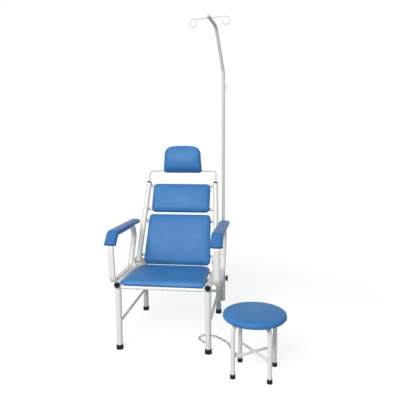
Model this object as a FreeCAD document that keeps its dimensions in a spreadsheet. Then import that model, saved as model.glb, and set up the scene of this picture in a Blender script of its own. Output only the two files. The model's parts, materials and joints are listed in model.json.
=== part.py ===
import FreeCAD, Part
import math
import os
import re

import Sketcher
from FreeCAD import Placement, Rotation, Vector

# Infusion chair with a reclining back, a height-adjustable head cushion, a pole for drip bags and
# a round stool on a chain. Millimetres and degrees. The chair faces -Y, with +Z up.
# Chair coordinates start on the floor midway between the front legs.

# Driving sizes: name, value, what it measures
SIZES = [
    ("tube_d", 38.0, "outside of the frame tube"),
    ("tube_wall", 1.5, "wall of the frame tube"),
    ("fit_gap", 0.1, "clearance round a pressed-in plug, pin or cup"),
    ("run_gap", 0.2, "clearance round what slides or turns"),
    ("leg_half", 280.0, "centre line of the chair to a leg"),
    ("rear_leg_y", 680.0, "front leg to rear leg"),
    ("rail_front_y", -25.0, "front end of a seat rail"),
    ("rail_front_z", 420.0, "height of a seat rail's axis at its front end"),
    ("rail_length", 732.0, "length of a seat rail"),
    ("seat_slope", 2.2, "fall of the seat rails towards the back"),
    ("bar_d", 22.0, "outside of a crossbar"),
    ("bar_wall", 1.5, "wall of a crossbar"),
    ("bar_reach", 8.0, "how far short of the tube's axis a crossbar is cut"),
    ("seat_bar_front", 20.0, "front seat bar along the rail"),
    ("seat_bar_mid", 235.0, "middle seat bar along the rail"),
    ("seat_bar_rear", 430.0, "rear seat bar along the rail"),
    ("stretcher_d", 19.0, "outside of a leg stretcher"),
    ("stretcher_wall", 1.2, "wall of a leg stretcher"),
    ("stretcher_z", 170.0, "height of the leg stretchers"),
    ("foot_d", 46.0, "rubber foot at the floor"),
    ("foot_top_d", 43.0, "rubber foot at its rim"),
    ("foot_height", 30.0, "height of a rubber foot"),
    ("foot_floor", 6.0, "rubber under a leg"),
    ("plug_head", 7.0, "height of a tube plug's dome"),
    ("plug_shank", 20.0, "plug inside the tube"),
    ("board_lift", -6.0, "underside of the seat board above the rails' axis"),
    ("board_thick", 12.0, "plywood under the seat cushion"),
    ("seat_front", 8.0, "front edge of the seat along the rail"),
    ("seat_depth", 455.0, "seat cushion front to back"),
    ("seat_front_in", 23.0, "leg's axis to the seat cushion's side at the front"),
    ("seat_rear_in", 40.0, "leg's axis to the seat cushion's side at the back"),
    ("seat_thick", 30.0, "seat foam and cover"),
    ("seat_front_r", 16.0, "front corners of the seat"),
    ("seat_rear_r", 58.0, "rear corners of the seat"),
    ("board_inset", 8.0, "how far a board stays inside its cushion"),
    ("seam_in", 3.0, "draw-in of a cushion at its seam"),
    ("shoulder_in", 8.0, "draw-in of a cushion at its shoulder"),
    ("crown_in", 40.0, "edge to the flat of a cushion's crown"),
    ("section_r", 6.0, "least corner radius of a cushion's section"),
    ("arm_wide", 40.0, "flat-oval arm tube across"),
    ("arm_thick", 20.0, "flat-oval arm tube, flat to flat"),
    ("arm_wall", 1.5, "wall of the arm tube"),
    ("arm_spacer", 10.0, "seat rail to arm tube"),
    ("arm_low", -3.0, "arm's lower run above the rails' axis"),
    ("arm_high", 290.0, "arm's upper run above the rails' axis"),
    ("arm_front_low", 66.0, "lower front corner of the arm along the rail"),
    ("arm_nose_u", 36.0, "lower end of the arm's sloping nose along the rail"),
    ("arm_nose_w", 229.0, "lower end of the arm's sloping nose above the rails' axis"),
    ("arm_front_high", 94.0, "upper end of the arm's sloping nose along the rail"),
    ("arm_rear_low", 462.0, "lower rear corner of the arm along the rail"),
    ("arm_rear_high", 632.0, "upper rear corner of the arm along the rail"),
    ("arm_bend", 52.0, "bend of the arm tube"),
    ("arm_nose_bend", 26.0, "tight bends at both ends of the sloping nose"),
    ("arm_rear_bend", 78.0, "wide bend at the upper rear corner"),
    ("arm_seam", 300.0, "butt weld of the arm tube along the rail"),
    ("weld_root", 0.4, "root gap of that weld"),
    ("pad_wide", 70.0, "arm pad across"),
    ("pad_thick", 27.0, "arm pad above the tube"),
    ("pad_crown_r", 22.0, "rounding along the arm pad's upper edges"),
    ("pad_rear", 620.0, "rear end of the arm pad along the rail"),
    ("bolt_d", 8.0, "arm bolt"),
    ("bolt_head_d", 16.0, "arm bolt head"),
    ("bolt_head", 5.0, "height of the arm bolt head"),
    ("bolt_nut", 7.0, "height of the nut"),
    ("bolt_front", 150.0, "front arm bolt along the rail"),
    ("bolt_rear", 395.0, "rear arm bolt along the rail"),
    ("spacer_d", 22.0, "spacer between rail and arm"),
    ("hinge_u", 515.0, "back hinge along the rail"),
    ("bracket_web", 4.0, "hinge bracket over the rail"),
    ("bracket_ear", 4.0, "ear of a hinge bracket"),
    ("bracket_long", 50.0, "hinge bracket along the rail"),
    ("bracket_side", 2.5, "upright to bracket ear"),
    ("bracket_over", 18.0, "bracket ear above the pin"),
    ("hinge_gap", 1.0, "bracket web to knuckle"),
    ("pin_d", 12.0, "hinge pin"),
    ("pin_head_d", 20.0, "hinge pin head"),
    ("pin_head", 7.0, "height of the hinge pin head"),
    ("knuckle_neck", 22.0, "pin to the upright's cut end"),
    ("knuckle_spigot", 34.0, "knuckle inside the upright"),
    ("back_recline", 25.5, "lean of the back from upright"),
    ("back_taper", 2.84, "lean of an upright towards the middle"),
    ("upright_top", 585.0, "hinge to the top end of an upright"),
    ("back_board_back", 14.0, "rear face of the back boards behind the uprights' axes"),
    ("back_board", 10.0, "plywood of the back"),
    ("back_thick", 28.0, "back foam and cover"),
    ("back_bar_low", 45.0, "lower back bar above the hinge"),
    ("back_bar_waist", 300.0, "waist bar above the hinge"),
    ("back_bar_chest", 392.0, "chest bar above the hinge"),
    ("back_bar_top", 577.0, "top bar above the hinge"),
    ("lumbar_low", -28.0, "lower edge of the lumbar cushion"),
    ("lumbar_high", 338.0, "upper edge of the lumbar cushion"),
    ("lumbar_low_in", 44.0, "leg's axis to the side of the lumbar cushion below"),
    ("lumbar_high_in", 58.0, "leg's axis to the side of the lumbar cushion above"),
    ("lumbar_r", 26.0, "corners of the lumbar cushion"),
    ("chest_low", 358.0, "lower edge of the chest cushion"),
    ("chest_high", 572.0, "upper edge of the chest cushion"),
    ("chest_in", 68.0, "leg's axis to the side of the chest cushion"),
    ("chest_r", 30.0, "corners of the chest cushion"),
    ("top_plug_head", 15.0, "height of an upright's top plug"),
    ("top_plug_shank", 32.0, "top plug inside the upright"),
    ("rod_d", 10.0, "rod of the head cushion"),
    ("rod_foot", 500.0, "lower ends of the rod above the hinge"),
    ("rod_top", 685.0, "crosspiece of the rod above the hinge"),
    ("rod_bend", 26.0, "bend of the rod"),
    ("head_low_half", 146.0, "half width of the head cushion below"),
    ("head_high_half", 128.0, "half width of the head cushion above"),
    ("head_low", -12.0, "lower edge of the head cushion to the crosspiece"),
    ("head_high", 188.0, "top of the head cushion above the crosspiece"),
    ("head_low_r", 22.0, "lower corners of the head cushion"),
    ("head_high_r", 100.0, "upper corners of the head cushion"),
    ("head_thick", 27.0, "head foam and cover"),
    ("head_board", 8.0, "board of the head cushion"),
    ("head_lean", 1.5, "lean of the head cushion from upright"),
    ("clamp_half", 62.0, "middle to a rod clamp"),
    ("clamp_wide", 26.0, "width of a rod clamp"),
    ("clamp_tall", 34.0, "height of a rod clamp"),
    ("clamp_back", 5.0, "clamp behind the rod"),
    ("socket_d", 32.0, "outside of the pole socket"),
    ("socket_bore", 26.4, "inside of the pole socket"),
    ("socket_low", 92.0, "lower end of the pole socket"),
    ("socket_high", 312.0, "upper end of the pole socket"),
    ("socket_off", 4.0, "leg to socket"),
    ("socket_round", 36.0, "way from the leg to the socket, turned back from +X"),
    ("web_thick", 6.0, "weld plate between leg and socket"),
    ("web_tall", 36.0, "height of a weld plate"),
    ("web_low", 130.0, "lower weld plate"),
    ("web_high", 236.0, "upper weld plate"),
    ("base_plug", 16.0, "plug in the socket's lower end"),
    ("base_seat", 5.0, "plug under the pole"),
    ("bush_long", 28.0, "swivel bush inside the socket"),
    ("bush_flange", 3.0, "flange of the swivel bush"),
    ("bush_flange_d", 33.0, "swivel bush across its flange"),
    ("pole_d", 22.0, "outside of the pole"),
    ("pole_wall", 1.5, "wall of the pole"),
    ("pole_knee", 1768.0, "height of the pole's first bend"),
    ("pole_lean", 27.8, "lean of the pole above its first bend"),
    ("pole_mid", 321.0, "pole between its bends"),
    ("tip_lean", 75.0, "lean of the pole's tip"),
    ("pole_tip", 147.0, "pole beyond its second bend"),
    ("pole_bend", 60.0, "bend of the pole"),
    ("pole_turn", -15.0, "turn of the bent pole towards the chair"),
    ("hook_d", 6.0, "wire of the bag hooks"),
    ("hook_half", 116.0, "half the straight length of the hook bar"),
    ("hook_r", 25.0, "radius of a bag hook"),
    ("hook_sweep", 300.0, "bend of a bag hook"),
    ("hook_back", 25.0, "hook bar from the pole's tip"),
    ("tip_cap", 5.0, "height of the pole's end cap"),
    ("peg_d", 5.0, "wire of the side hook"),
    ("peg_r", 7.0, "radius of the side hook"),
    ("peg_z", 1662.0, "height of the side hook"),
    ("peg_stem", 24.0, "straight ends of the side hook"),
    ("knob_z", 264.0, "height of the clamp knob"),
    ("boss_d", 18.0, "clamp boss across"),
    ("boss_out", 4.0, "clamp boss beyond the socket"),
    ("screw_d", 8.0, "clamp screw"),
    ("knob_d", 42.0, "clamp knob across"),
    ("knob_thick", 14.0, "clamp knob"),
    ("knob_gap", 1.0, "boss to knob"),
    ("knob_notch", 11.0, "hollow between the knob's lobes"),
    ("stool_x", 564.0, "stool's middle to the right of the chair's"),
    ("stool_y", -200.0, "stool's middle behind the front legs"),
    ("stool_turn", -8.6, "turn of the stool"),
    ("stool_reach", 144.0, "stool's middle to a leg"),
    ("stool_tube", 25.0, "outside of the stool tube"),
    ("stool_wall", 1.5, "wall of the stool tube"),
    ("stool_bend", 46.0, "bend of the stool tube"),
    ("stool_high", 356.0, "top of the stool"),
    ("stool_foam", 22.0, "stool foam and cover"),
    ("stool_board", 10.0, "plywood under the stool cushion"),
    ("stool_half", 177.0, "radius of the stool cushion"),
    ("stool_edge_r", 10.0, "rounding of the stool cushion's edge"),
    ("stool_crown", 4.0, "rise of the stool cushion's crown"),
    ("brace_d", 15.0, "stool brace"),
    ("brace_wall", 1.2, "wall of the stool brace"),
    ("brace_z", 122.0, "height of the stool braces"),
    ("cup_d", 32.0, "stool foot at the floor"),
    ("cup_top_d", 29.0, "stool foot at its rim"),
    ("cup_height", 24.0, "height of a stool foot"),
    ("chain_wire", 4.0, "wire of the chain"),
    ("chain_pitch", 24.0, "inside length of a link"),
    ("chain_inside", 7.0, "inside width of a link"),
    ("chain_tilt", 40.0, "lean of the links to each side of flat"),
    ("chain_drop", 40.0, "fall of the chain's end links"),
    ("eye_z", 46.0, "height of the chain's eyes"),
    ("eye_r", 9.0, "radius of a chain eye"),
    ("eye_wire", 5.0, "wire of a chain eye"),
    ("origin_x", 0.0, "middle of the whole set, set from its box"),
    ("origin_y", 0.0, "middle of the whole set, set from its box"),
]

# Cushion sections: share of the thickness, and the draw-in there
CUSHION_LEVELS = [(0.0, "seam_in"), (0.22, "0"), (0.55, "0.2*shoulder_in"), (0.8, "shoulder_in"),
                  (0.94, "2.2*shoulder_in"), (1.0, "crown_in")]

# The chain's way over the floor in chair coordinates, between its first and last links
CHAIN_ROUTE = [
    (277, 72, 18), (264, 100, 9.5), (242, 132, 9), (212, 162, 9), (197, 202, 9), (222, 240, 9), (272, 244, 9),
    (316, 218, 9), (358, 180, 9), (394, 130, 9), (414, 66, 9), (434, 6, 9.5), (452, -26, 18),
]

ALONG = {"x": ((0, 1, 0), "90"), "y": ((1, 0, 0), "-90"), "z": ((0, 0, 1), "0")}

doc = FreeCAD.newDocument("infusion_chair")
sheet = doc.addObject("Spreadsheet::Sheet", "dims")
for row, (alias, number, note) in enumerate(SIZES, start=1):
    sheet.set("A%d" % row, note)
    sheet.set("B%d" % row, str(number))
    sheet.setAlias("B%d" % row, alias)
doc.recompute()

ALIASES = re.compile(r"\b(" + "|".join(alias for alias, _, _ in SIZES) + r")\b")
CELLS = {alias: "B%d" % row for row, (alias, _, _) in enumerate(SIZES, start=1)}
nodes = []


def formula(text):
    """Write an expression with its size names as cells of the sheet."""
    return ALIASES.sub(r"dims.\1", str(text))


def value(text):
    """The present number of an expression."""
    return float(sheet.evalExpression(formula(text)))


def bind(thing, prop, text):
    """Tie one property to an expression."""
    thing.setExpression(prop, formula(text))


def add(kind, name):
    """A new object of the document."""
    thing = doc.addObject(kind, name)
    thing.Label = name
    return thing


def place(thing, base, axis=(0, 0, 1), angle="0"):
    """Tie an object's place, and its turn about a fixed axis, to expressions."""
    if angle != "0":
        thing.Placement = Placement(Vector(0, 0, 0), Rotation(Vector(*axis), 1.0))
        bind(thing, "Placement.Rotation.Angle", angle)
    for letter, text in zip("xyz", base):
        bind(thing, "Placement.Base." + letter, text)
    return thing


def rail_y(along, up="0"):
    """Chair Y of a point beside the sloping rails."""
    return "(rail_front_y + (%s)*cos(seat_slope) + (%s)*sin(seat_slope))" % (along, up)


def rail_z(along, up="0"):
    """Chair Z of a point beside the sloping rails."""
    return "(rail_front_z - (%s)*sin(seat_slope) + (%s)*cos(seat_slope))" % (along, up)


HINGE_UP = "(tube_d + bracket_web + hinge_gap)"
HINGE_Y = rail_y("hinge_u", HINGE_UP)
HINGE_Z = rail_z("hinge_u", HINGE_UP)
HEAD_Y = "(%s + rod_top*sin(back_recline))" % HINGE_Y
HEAD_Z = "(%s + rod_top*cos(back_recline))" % HINGE_Z
SOCKET_REACH = "(tube_d/2 + socket_off + socket_d/2)"
POLE_X = "(leg_half + %s*cos(socket_round))" % SOCKET_REACH
POLE_Y = "(rear_leg_y + %s*sin(socket_round))" % SOCKET_REACH
TOP_HALF = "(leg_half - upright_top*sin(back_taper))"
ARM_X = "(leg_half + tube_d/2 + arm_spacer + arm_wide/2)"
FLOOR = (("-origin_x", "-origin_y", "0"), (0, 0, 1), "0")
RAIL = (("-origin_x", "rail_front_y - origin_y", "rail_front_z"), (1, 0, 0), "-seat_slope")
BACK = (("-origin_x", HINGE_Y + " - origin_y", HINGE_Z), (1, 0, 0), "-back_recline")
HEAD = (("-origin_x", HEAD_Y + " - origin_y", HEAD_Z), (1, 0, 0), "-head_lean")
POLE = ((POLE_X + " - origin_x", POLE_Y + " - origin_y", "0"), (0, 0, 1), "pole_turn")
STOOL = (("stool_x - origin_x", "stool_y - origin_y", "0"), (0, 0, 1), "stool_turn")


def node(name, frame, *pieces):
    """A named sub-part: its solids, placed together in one of the frames."""
    group = add("Part::Compound", name)
    group.Links = list(pieces)
    place(group, *frame)
    nodes.append(group)
    return group


def cylinder(name, start, along, diameter, length):
    """A round bar from a start point along x, y, z or a turned direction."""
    axis, angle = ALONG.get(along, along)
    bar = add("Part::Cylinder", name)
    bind(bar, "Radius", "(%s)/2" % diameter)
    bind(bar, "Height", length)
    return place(bar, start, axis, angle)


def box(name, corner, sides, angle="0"):
    """A block from its low corner, turned about Z."""
    block = add("Part::Box", name)
    for prop, text in zip(("Length", "Width", "Height"), sides):
        bind(block, prop, text)
    return place(block, corner, angle=angle)


def cut(name, base, *tools):
    """A piece with others taken away from it."""
    for number, tool in enumerate(tools):
        result = add("Part::Cut", "%s_cut_%d" % (name, number))
        result.Base = base
        result.Tool = tool
        base = result
    return base


def fuse(name, *pieces):
    """Pieces made as one."""
    result = add("Part::MultiFuse", name + "_fused")
    result.Shapes = list(pieces)
    result.Refine = True
    return result


def tube(name, start, along, diameter, wall, length, *coped):
    """A straight tube, its ends shaped to what it meets."""
    outer = cylinder(name + "_outer", start, along, diameter, length)
    bore = cylinder(name + "_bore", start, along, "(%s) - 2*(%s)" % (diameter, wall), length)
    return cut(name, outer, bore, *coped)


def new_body(name, base=("0", "0", "0"), axis=(0, 0, 1), angle="0"):
    """An empty body at a place."""
    return place(add("PartDesign::Body", name + "_body"), base, axis, angle)


def sketch_on(body, name, plane, lift="0"):
    """A sketch on one of the body's origin planes, or lifted off it along its normal."""
    sketch = body.newObject("Sketcher::SketchObject", name)
    planes = {feature.Role: feature for feature in body.Origin.OriginFeatures}
    sketch.AttachmentSupport = (planes[plane], [""])
    sketch.MapMode = "FlatFace"
    bind(sketch, "AttachmentOffset.Base.z", lift)
    return sketch


def pin_point(sketch, geometry, end, spot):
    """Fix a point of a sketch at two expressions."""
    for kind, line, text in (("DistanceX", -2, spot[0]), ("DistanceY", -1, spot[1])):
        if text == "0":
            sketch.addConstraint(Sketcher.Constraint("PointOnObject", geometry, end, line))
        else:
            index = sketch.addConstraint(Sketcher.Constraint(kind, -1, 1, geometry, end, value(text)))
            bind(sketch, "Constraints[%d]" % index, text)


def run(sketch, corners, radii, closed):
    """Straight lines through corners, rounded where a radius is given."""
    spots = [Vector(value(u), value(v), 0) for u, v in corners]
    count = len(spots)
    starts = list(spots)
    ends = list(spots)
    bends = []
    for i in range(count):
        turning = closed or 0 < i < count - 1
        if not turning or radii[i] is None:
            bends.append(None)
            continue
        before = (spots[i - 1] - spots[i]).normalize()
        after = (spots[(i + 1) % count] - spots[i]).normalize()
        half = before.getAngle(after) / 2
        radius = value(radii[i])
        ends[i] = spots[i] + before * (radius / math.tan(half))
        starts[i] = spots[i] + after * (radius / math.tan(half))
        middle = spots[i] + (before + after).normalize() * (radius / math.sin(half))
        left = before.cross(after).z < 0
        bends.append((middle, radius, left))
    lines = []
    for i in range(count if closed else count - 1):
        lines.append(sketch.addGeometry(Part.LineSegment(starts[i], ends[(i + 1) % count])))
    if not closed:
        pin_point(sketch, lines[0], 1, corners[0])
        pin_point(sketch, lines[-1], 2, corners[-1])
    for i in range(count):
        if not closed and i in (0, count - 1):
            continue
        before, after = lines[i - 1], lines[i]
        if bends[i] is None:
            sketch.addConstraint(Sketcher.Constraint("Coincident", before, 2, after, 1))
            pin_point(sketch, after, 1, corners[i])
            continue
        middle, radius, left = bends[i]
        first, last = (ends[i], starts[i]) if left else (starts[i], ends[i])
        sweep = [math.atan2(p.y - middle.y, p.x - middle.x) for p in (first, last)]
        circle = Part.Circle(middle, Vector(0, 0, 1), radius)
        arc = sketch.addGeometry(Part.ArcOfCircle(circle, sweep[0], sweep[1]))
        spot = sketch.addGeometry(Part.Point(spots[i]), True)
        sketch.addConstraint(Sketcher.Constraint("Tangent", before, 2, arc, 1 if left else 2))
        sketch.addConstraint(Sketcher.Constraint("Tangent", arc, 2 if left else 1, after, 1))
        index = sketch.addConstraint(Sketcher.Constraint("Radius", arc, radius))
        bind(sketch, "Constraints[%d]" % index, radii[i])
        sketch.addConstraint(Sketcher.Constraint("PointOnObject", spot, 1, before))
        sketch.addConstraint(Sketcher.Constraint("PointOnObject", spot, 1, after))
        pin_point(sketch, spot, 1, corners[i])


def ring(sketch, centre, diameters):
    """Circles about one point."""
    for diameter in diameters:
        radius = "(%s)/2" % diameter
        spot = Vector(value(centre[0]), value(centre[1]), 0)
        circle = sketch.addGeometry(Part.Circle(spot, Vector(0, 0, 1), value(radius)))
        pin_point(sketch, circle, 3, centre)
        index = sketch.addConstraint(Sketcher.Constraint("Radius", circle, value(radius)))
        bind(sketch, "Constraints[%d]" % index, radius)


def revolved(name, corners, radii=None, base=("0", "0", "0"), axis=(0, 0, 1), angle="0"):
    """A turned piece: a half profile of radius and height about its own Z."""
    body = new_body(name, base, axis, angle)
    sketch = sketch_on(body, name + "_profile", "XZ_Plane")
    run(sketch, corners, radii or [None] * len(corners), True)
    feature = body.newObject("PartDesign::Revolution", name + "_turn")
    feature.Profile = sketch
    feature.ReferenceAxis = (sketch, ["V_Axis"])
    feature.Angle = 360.0
    return body


def bent(name, plane, corners, radii, section_plane, section_lift, section, base=("0", "0", "0"),
         axis=(0, 0, 1), angle="0"):
    """A section swept along a bent run; section draws it at the run's start."""
    body = new_body(name, base, axis, angle)
    path = sketch_on(body, name + "_path", plane)
    run(path, corners, radii, False)
    profile = sketch_on(body, name + "_section", section_plane, section_lift)
    section(profile)
    feature = body.newObject("PartDesign::AdditivePipe", name + "_sweep")
    feature.Profile = profile
    feature.Spine = (path, [])
    return body


def plate(name, plane, corners, radii, lift, thick, base=("0", "0", "0")):
    """A flat piece of one thickness."""
    body = new_body(name, base)
    sketch = sketch_on(body, name + "_outline", plane, lift)
    run(sketch, corners, radii, True)
    feature = body.newObject("PartDesign::Pad", name + "_pad")
    feature.Profile = sketch
    bind(feature, "Length", thick)
    return body


def four_corners(low_half, high_half, low, high, inset="0"):
    """A four-cornered outline about X = 0, drawn in by an inset."""
    low_x = "((%s) - (%s))" % (low_half, inset)
    high_x = "((%s) - (%s))" % (high_half, inset)
    low_y = "((%s) + (%s))" % (low, inset)
    high_y = "((%s) - (%s))" % (high, inset)
    return [("-" + low_x, low_y), (low_x, low_y), (high_x, high_y), ("-" + high_x, high_y)]


def cushion(name, plane, outline, low_r, high_r, seat, thick):
    """A foam cushion with a crown, its sides drawn in to the seam and to the shoulder."""
    body = new_body(name)
    sections = []
    for number, (share, inset) in enumerate(CUSHION_LEVELS):
        sketch = sketch_on(body, "%s_level_%d" % (name, number), plane, "(%s) + %s*(%s)" % (seat, share, thick))
        radii = ["max((%s) - (%s); section_r)" % (radius, inset) for radius in (low_r, low_r, high_r, high_r)]
        run(sketch, four_corners(*outline, inset=inset), radii, True)
        sections.append(sketch)
    feature = body.newObject("PartDesign::AdditiveLoft", name + "_loft")
    feature.Profile = sections[0]
    feature.Sections = sections[1:]
    feature.Ruled = True
    return body


def board(name, plane, outline, low_r, high_r, seat, thick):
    """The plywood behind a cushion, a little smaller than it."""
    radii = ["max((%s) - board_inset; section_r)" % radius for radius in (low_r, low_r, high_r, high_r)]
    return plate(name, plane, four_corners(*outline, inset="board_inset"), radii, seat, thick)


def plug(name, diameter, wall, head, shank, base, axis, angle):
    """A domed plug whose shank fills a tube's end. Its Z points out of the tube."""
    shank_r = "(%s)/2 - (%s) - fit_gap" % (diameter, wall)
    head_r = "(%s)/2" % diameter
    corners = [("0", "-(%s)" % shank), (shank_r, "-(%s)" % shank), (shank_r, "0"), (head_r, "0"),
               (head_r, head), ("0", head)]
    return revolved(name, corners, [None, None, None, None, "0.8*(%s)" % head, None], base, axis, angle)


def cup(name, spot, low_d, high_d, height, floor, tube_across):
    """A rubber foot that a tube's end stands in."""
    outer = add("Part::Cone", name + "_outer")
    bind(outer, "Radius1", "(%s)/2" % low_d)
    bind(outer, "Radius2", "(%s)/2" % high_d)
    bind(outer, "Height", height)
    place(outer, (spot[0], spot[1], "0"))
    bore = cylinder(name + "_bore", (spot[0], spot[1], floor), "z", "(%s) + 2*fit_gap" % tube_across, height)
    return cut(name, outer, bore)


SIDES = (("left", "-1"), ("right", "1"))
DOWN_RAIL = ((1, 0, 0), "-90 - seat_slope")
UP_RAIL = ((1, 0, 0), "90 - seat_slope")

# Seat rails, and solid bars of their outside for shaping what meets them
rail_cores = {}
leg_cores = {}
for side, sign in SIDES:
    start = ("%s*leg_half" % sign, "rail_front_y", "rail_front_z")
    rail_cores[side] = cylinder("rail_core_" + side, start, DOWN_RAIL, "tube_d", "rail_length")
    for end, along in (("front", "0"), ("rear", "rear_leg_y")):
        height = "rail_front_z - (%s - rail_front_y)*tan(seat_slope) - foot_floor" % along
        start = ("%s*leg_half" % sign, along, "foot_floor")
        leg_cores[end + side] = cylinder("leg_core_%s_%s" % (end, side), start, "z", "tube_d", height)

for side, sign in SIDES:
    across = "%s*leg_half" % sign
    name = "seat_rail_" + side
    bore = cylinder(name + "_bore", (across, "rail_front_y", "rail_front_z"), DOWN_RAIL,
                    "tube_d - 2*tube_wall", "rail_length")
    holes = []
    for spot in ("bolt_front", "bolt_rear"):
        start = ("%s - tube_d" % across, rail_y(spot, "arm_low"), rail_z(spot, "arm_low"))
        holes.append(cylinder("%s_%s_hole" % (name, spot), start, "x", "bolt_d + 2*fit_gap", "2*tube_d"))
    node(name, FLOOR, cut(name, rail_cores[side], bore, *holes))
    for end, along in (("front", "0"), ("rear", "rear_leg_y")):
        name = "%s_leg_%s" % (end, side)
        core = leg_cores[end + side]
        bore = cylinder(name + "_bore", (across, along, "foot_floor"), "z", "tube_d - 2*tube_wall", "rail_front_z")
        node(name, FLOOR, cut(name, core, bore, rail_cores[side]))

# Plugs in the rails' ends, rubber feet
plugs = []
for end, along, turn in (("front", "0", UP_RAIL), ("rear", "rail_length", DOWN_RAIL)):
    for side, sign in SIDES:
        base = ("%s*leg_half" % sign, rail_y(along), rail_z(along))
        plugs.append(plug("rail_plug_%s_%s" % (end, side), "tube_d", "tube_wall", "plug_head", "plug_shank",
                          base, *turn))
node("rail_plugs", FLOOR, *plugs)

feet = []
for side, sign in SIDES:
    for end, along in (("front", "0"), ("rear", "rear_leg_y")):
        feet.append(cup("foot_%s_%s" % (end, side), ("%s*leg_half" % sign, along), "foot_d", "foot_top_d",
                        "foot_height", "foot_floor", "tube_d"))
node("leg_feet", FLOOR, *feet)

# Bars under the seat, coped to the rails, and the stretchers between the legs
for place_name in ("front", "mid", "rear"):
    name = "seat_bar_" + place_name
    up = "board_lift - bar_d/2"
    start = ("-leg_half + bar_reach", rail_y(name, up), rail_z(name, up))
    shaped = [rail_cores["left"], rail_cores["right"]]
    if place_name == "front":
        shaped += [leg_cores["frontleft"], leg_cores["frontright"]]
    node("seat_crossbar_" + place_name, FLOOR,
         tube(name, start, "x", "bar_d", "bar_wall", "2*(leg_half - bar_reach)", *shaped))

for side, sign in SIDES:
    name = "side_stretcher_" + side
    start = ("%s*leg_half" % sign, "0", "stretcher_z")
    node(name, FLOOR, tube(name, start, "y", "stretcher_d", "stretcher_wall", "rear_leg_y",
                           leg_cores["front" + side], leg_cores["rear" + side]))
node("rear_stretcher", FLOOR,
     tube("rear_stretcher", ("-leg_half", "rear_leg_y", "stretcher_z"), "x", "stretcher_d", "stretcher_wall",
          "2*leg_half", leg_cores["rearleft"], leg_cores["rearright"]))

# Seat board and cushion
seat_outline = ("(leg_half - seat_front_in)", "(leg_half - seat_rear_in)", "seat_front", "seat_front + seat_depth")
node("seat_board", RAIL,
     board("seat_board", "XY_Plane", seat_outline, "seat_front_r", "seat_rear_r", "board_lift", "board_thick"))
node("seat_cushion", RAIL,
     cushion("seat_cushion", "XY_Plane", seat_outline, "seat_front_r", "seat_rear_r",
             "board_lift + board_thick", "seat_thick"))


# Arms: flat-oval tube bent to a loop and butt-welded under the pad
def flat_oval(sketch, across, thick, middle):
    """A flat-oval ring as two straight sides and two round ends."""
    half = "((%s) - (%s))/2" % (across, thick)
    for shrink in ("0", "arm_wall"):
        radius = "(%s)/2 - (%s)" % (thick, shrink)
        corners = [(half, "%s - (%s)" % (middle, radius)), (half, "%s + %s" % (middle, radius)),
                   ("-" + half, "%s + %s" % (middle, radius)), ("-" + half, "%s - (%s)" % (middle, radius))]
        spots = [Vector(value(u), value(v), 0) for u, v in corners]
        lines = [sketch.addGeometry(Part.LineSegment(spots[1], spots[2])),
                 sketch.addGeometry(Part.LineSegment(spots[3], spots[0]))]
        arcs = []
        for first, last in ((spots[2], spots[3]), (spots[0], spots[1])):
            circle = Part.Circle((first + last) * 0.5, Vector(0, 0, 1), value(radius))
            turn = math.atan2(first.y - last.y, 0.0)
            arcs.append(sketch.addGeometry(Part.ArcOfCircle(circle, turn, turn + math.pi)))
        for line, end, arc, tip in ((lines[0], 2, arcs[0], 1), (lines[1], 1, arcs[0], 2),
                                    (lines[1], 2, arcs[1], 1), (lines[0], 1, arcs[1], 2)):
            sketch.addConstraint(Sketcher.Constraint("Tangent", line, end, arc, tip))
        pin_point(sketch, arcs[0], 3, ("-" + half, middle))
        pin_point(sketch, arcs[1], 3, (half, middle))
        index = sketch.addConstraint(Sketcher.Constraint("Radius", arcs[0], value(radius)))
        bind(sketch, "Constraints[%d]" % index, radius)


def arm_section(sketch):
    """The arm tube's flat-oval ring at the weld."""
    flat_oval(sketch, "arm_wide", "arm_thick", "arm_high")


ARM_RUN = [("arm_seam + weld_root", "arm_high"), ("arm_rear_high", "arm_high"), ("arm_rear_low", "arm_low"),
           ("arm_front_low", "arm_low"), ("arm_nose_u", "arm_nose_w"), ("arm_front_high", "arm_high"),
           ("arm_seam", "arm_high")]
ARM_BENDS = [None, "arm_rear_bend", "arm_bend", "arm_bend", "arm_nose_bend", "arm_nose_bend", None]
PAD_RUN = [("pad_rear", "arm_high"), ("arm_front_high", "arm_high"), ("arm_nose_u", "arm_nose_w")]


def pad_section(sketch):
    """Arm pad: flat below, where it lies on the tube, and rounded above."""
    low = "arm_high + arm_thick/2"
    corners = [("-pad_wide/2", low), ("pad_wide/2", low), ("pad_wide/2", "%s + pad_thick" % low),
               ("-pad_wide/2", "%s + pad_thick" % low)]
    run(sketch, corners, ["pad_crown_r/6", "pad_crown_r/6", "pad_crown_r", "pad_crown_r"], True)


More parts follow.
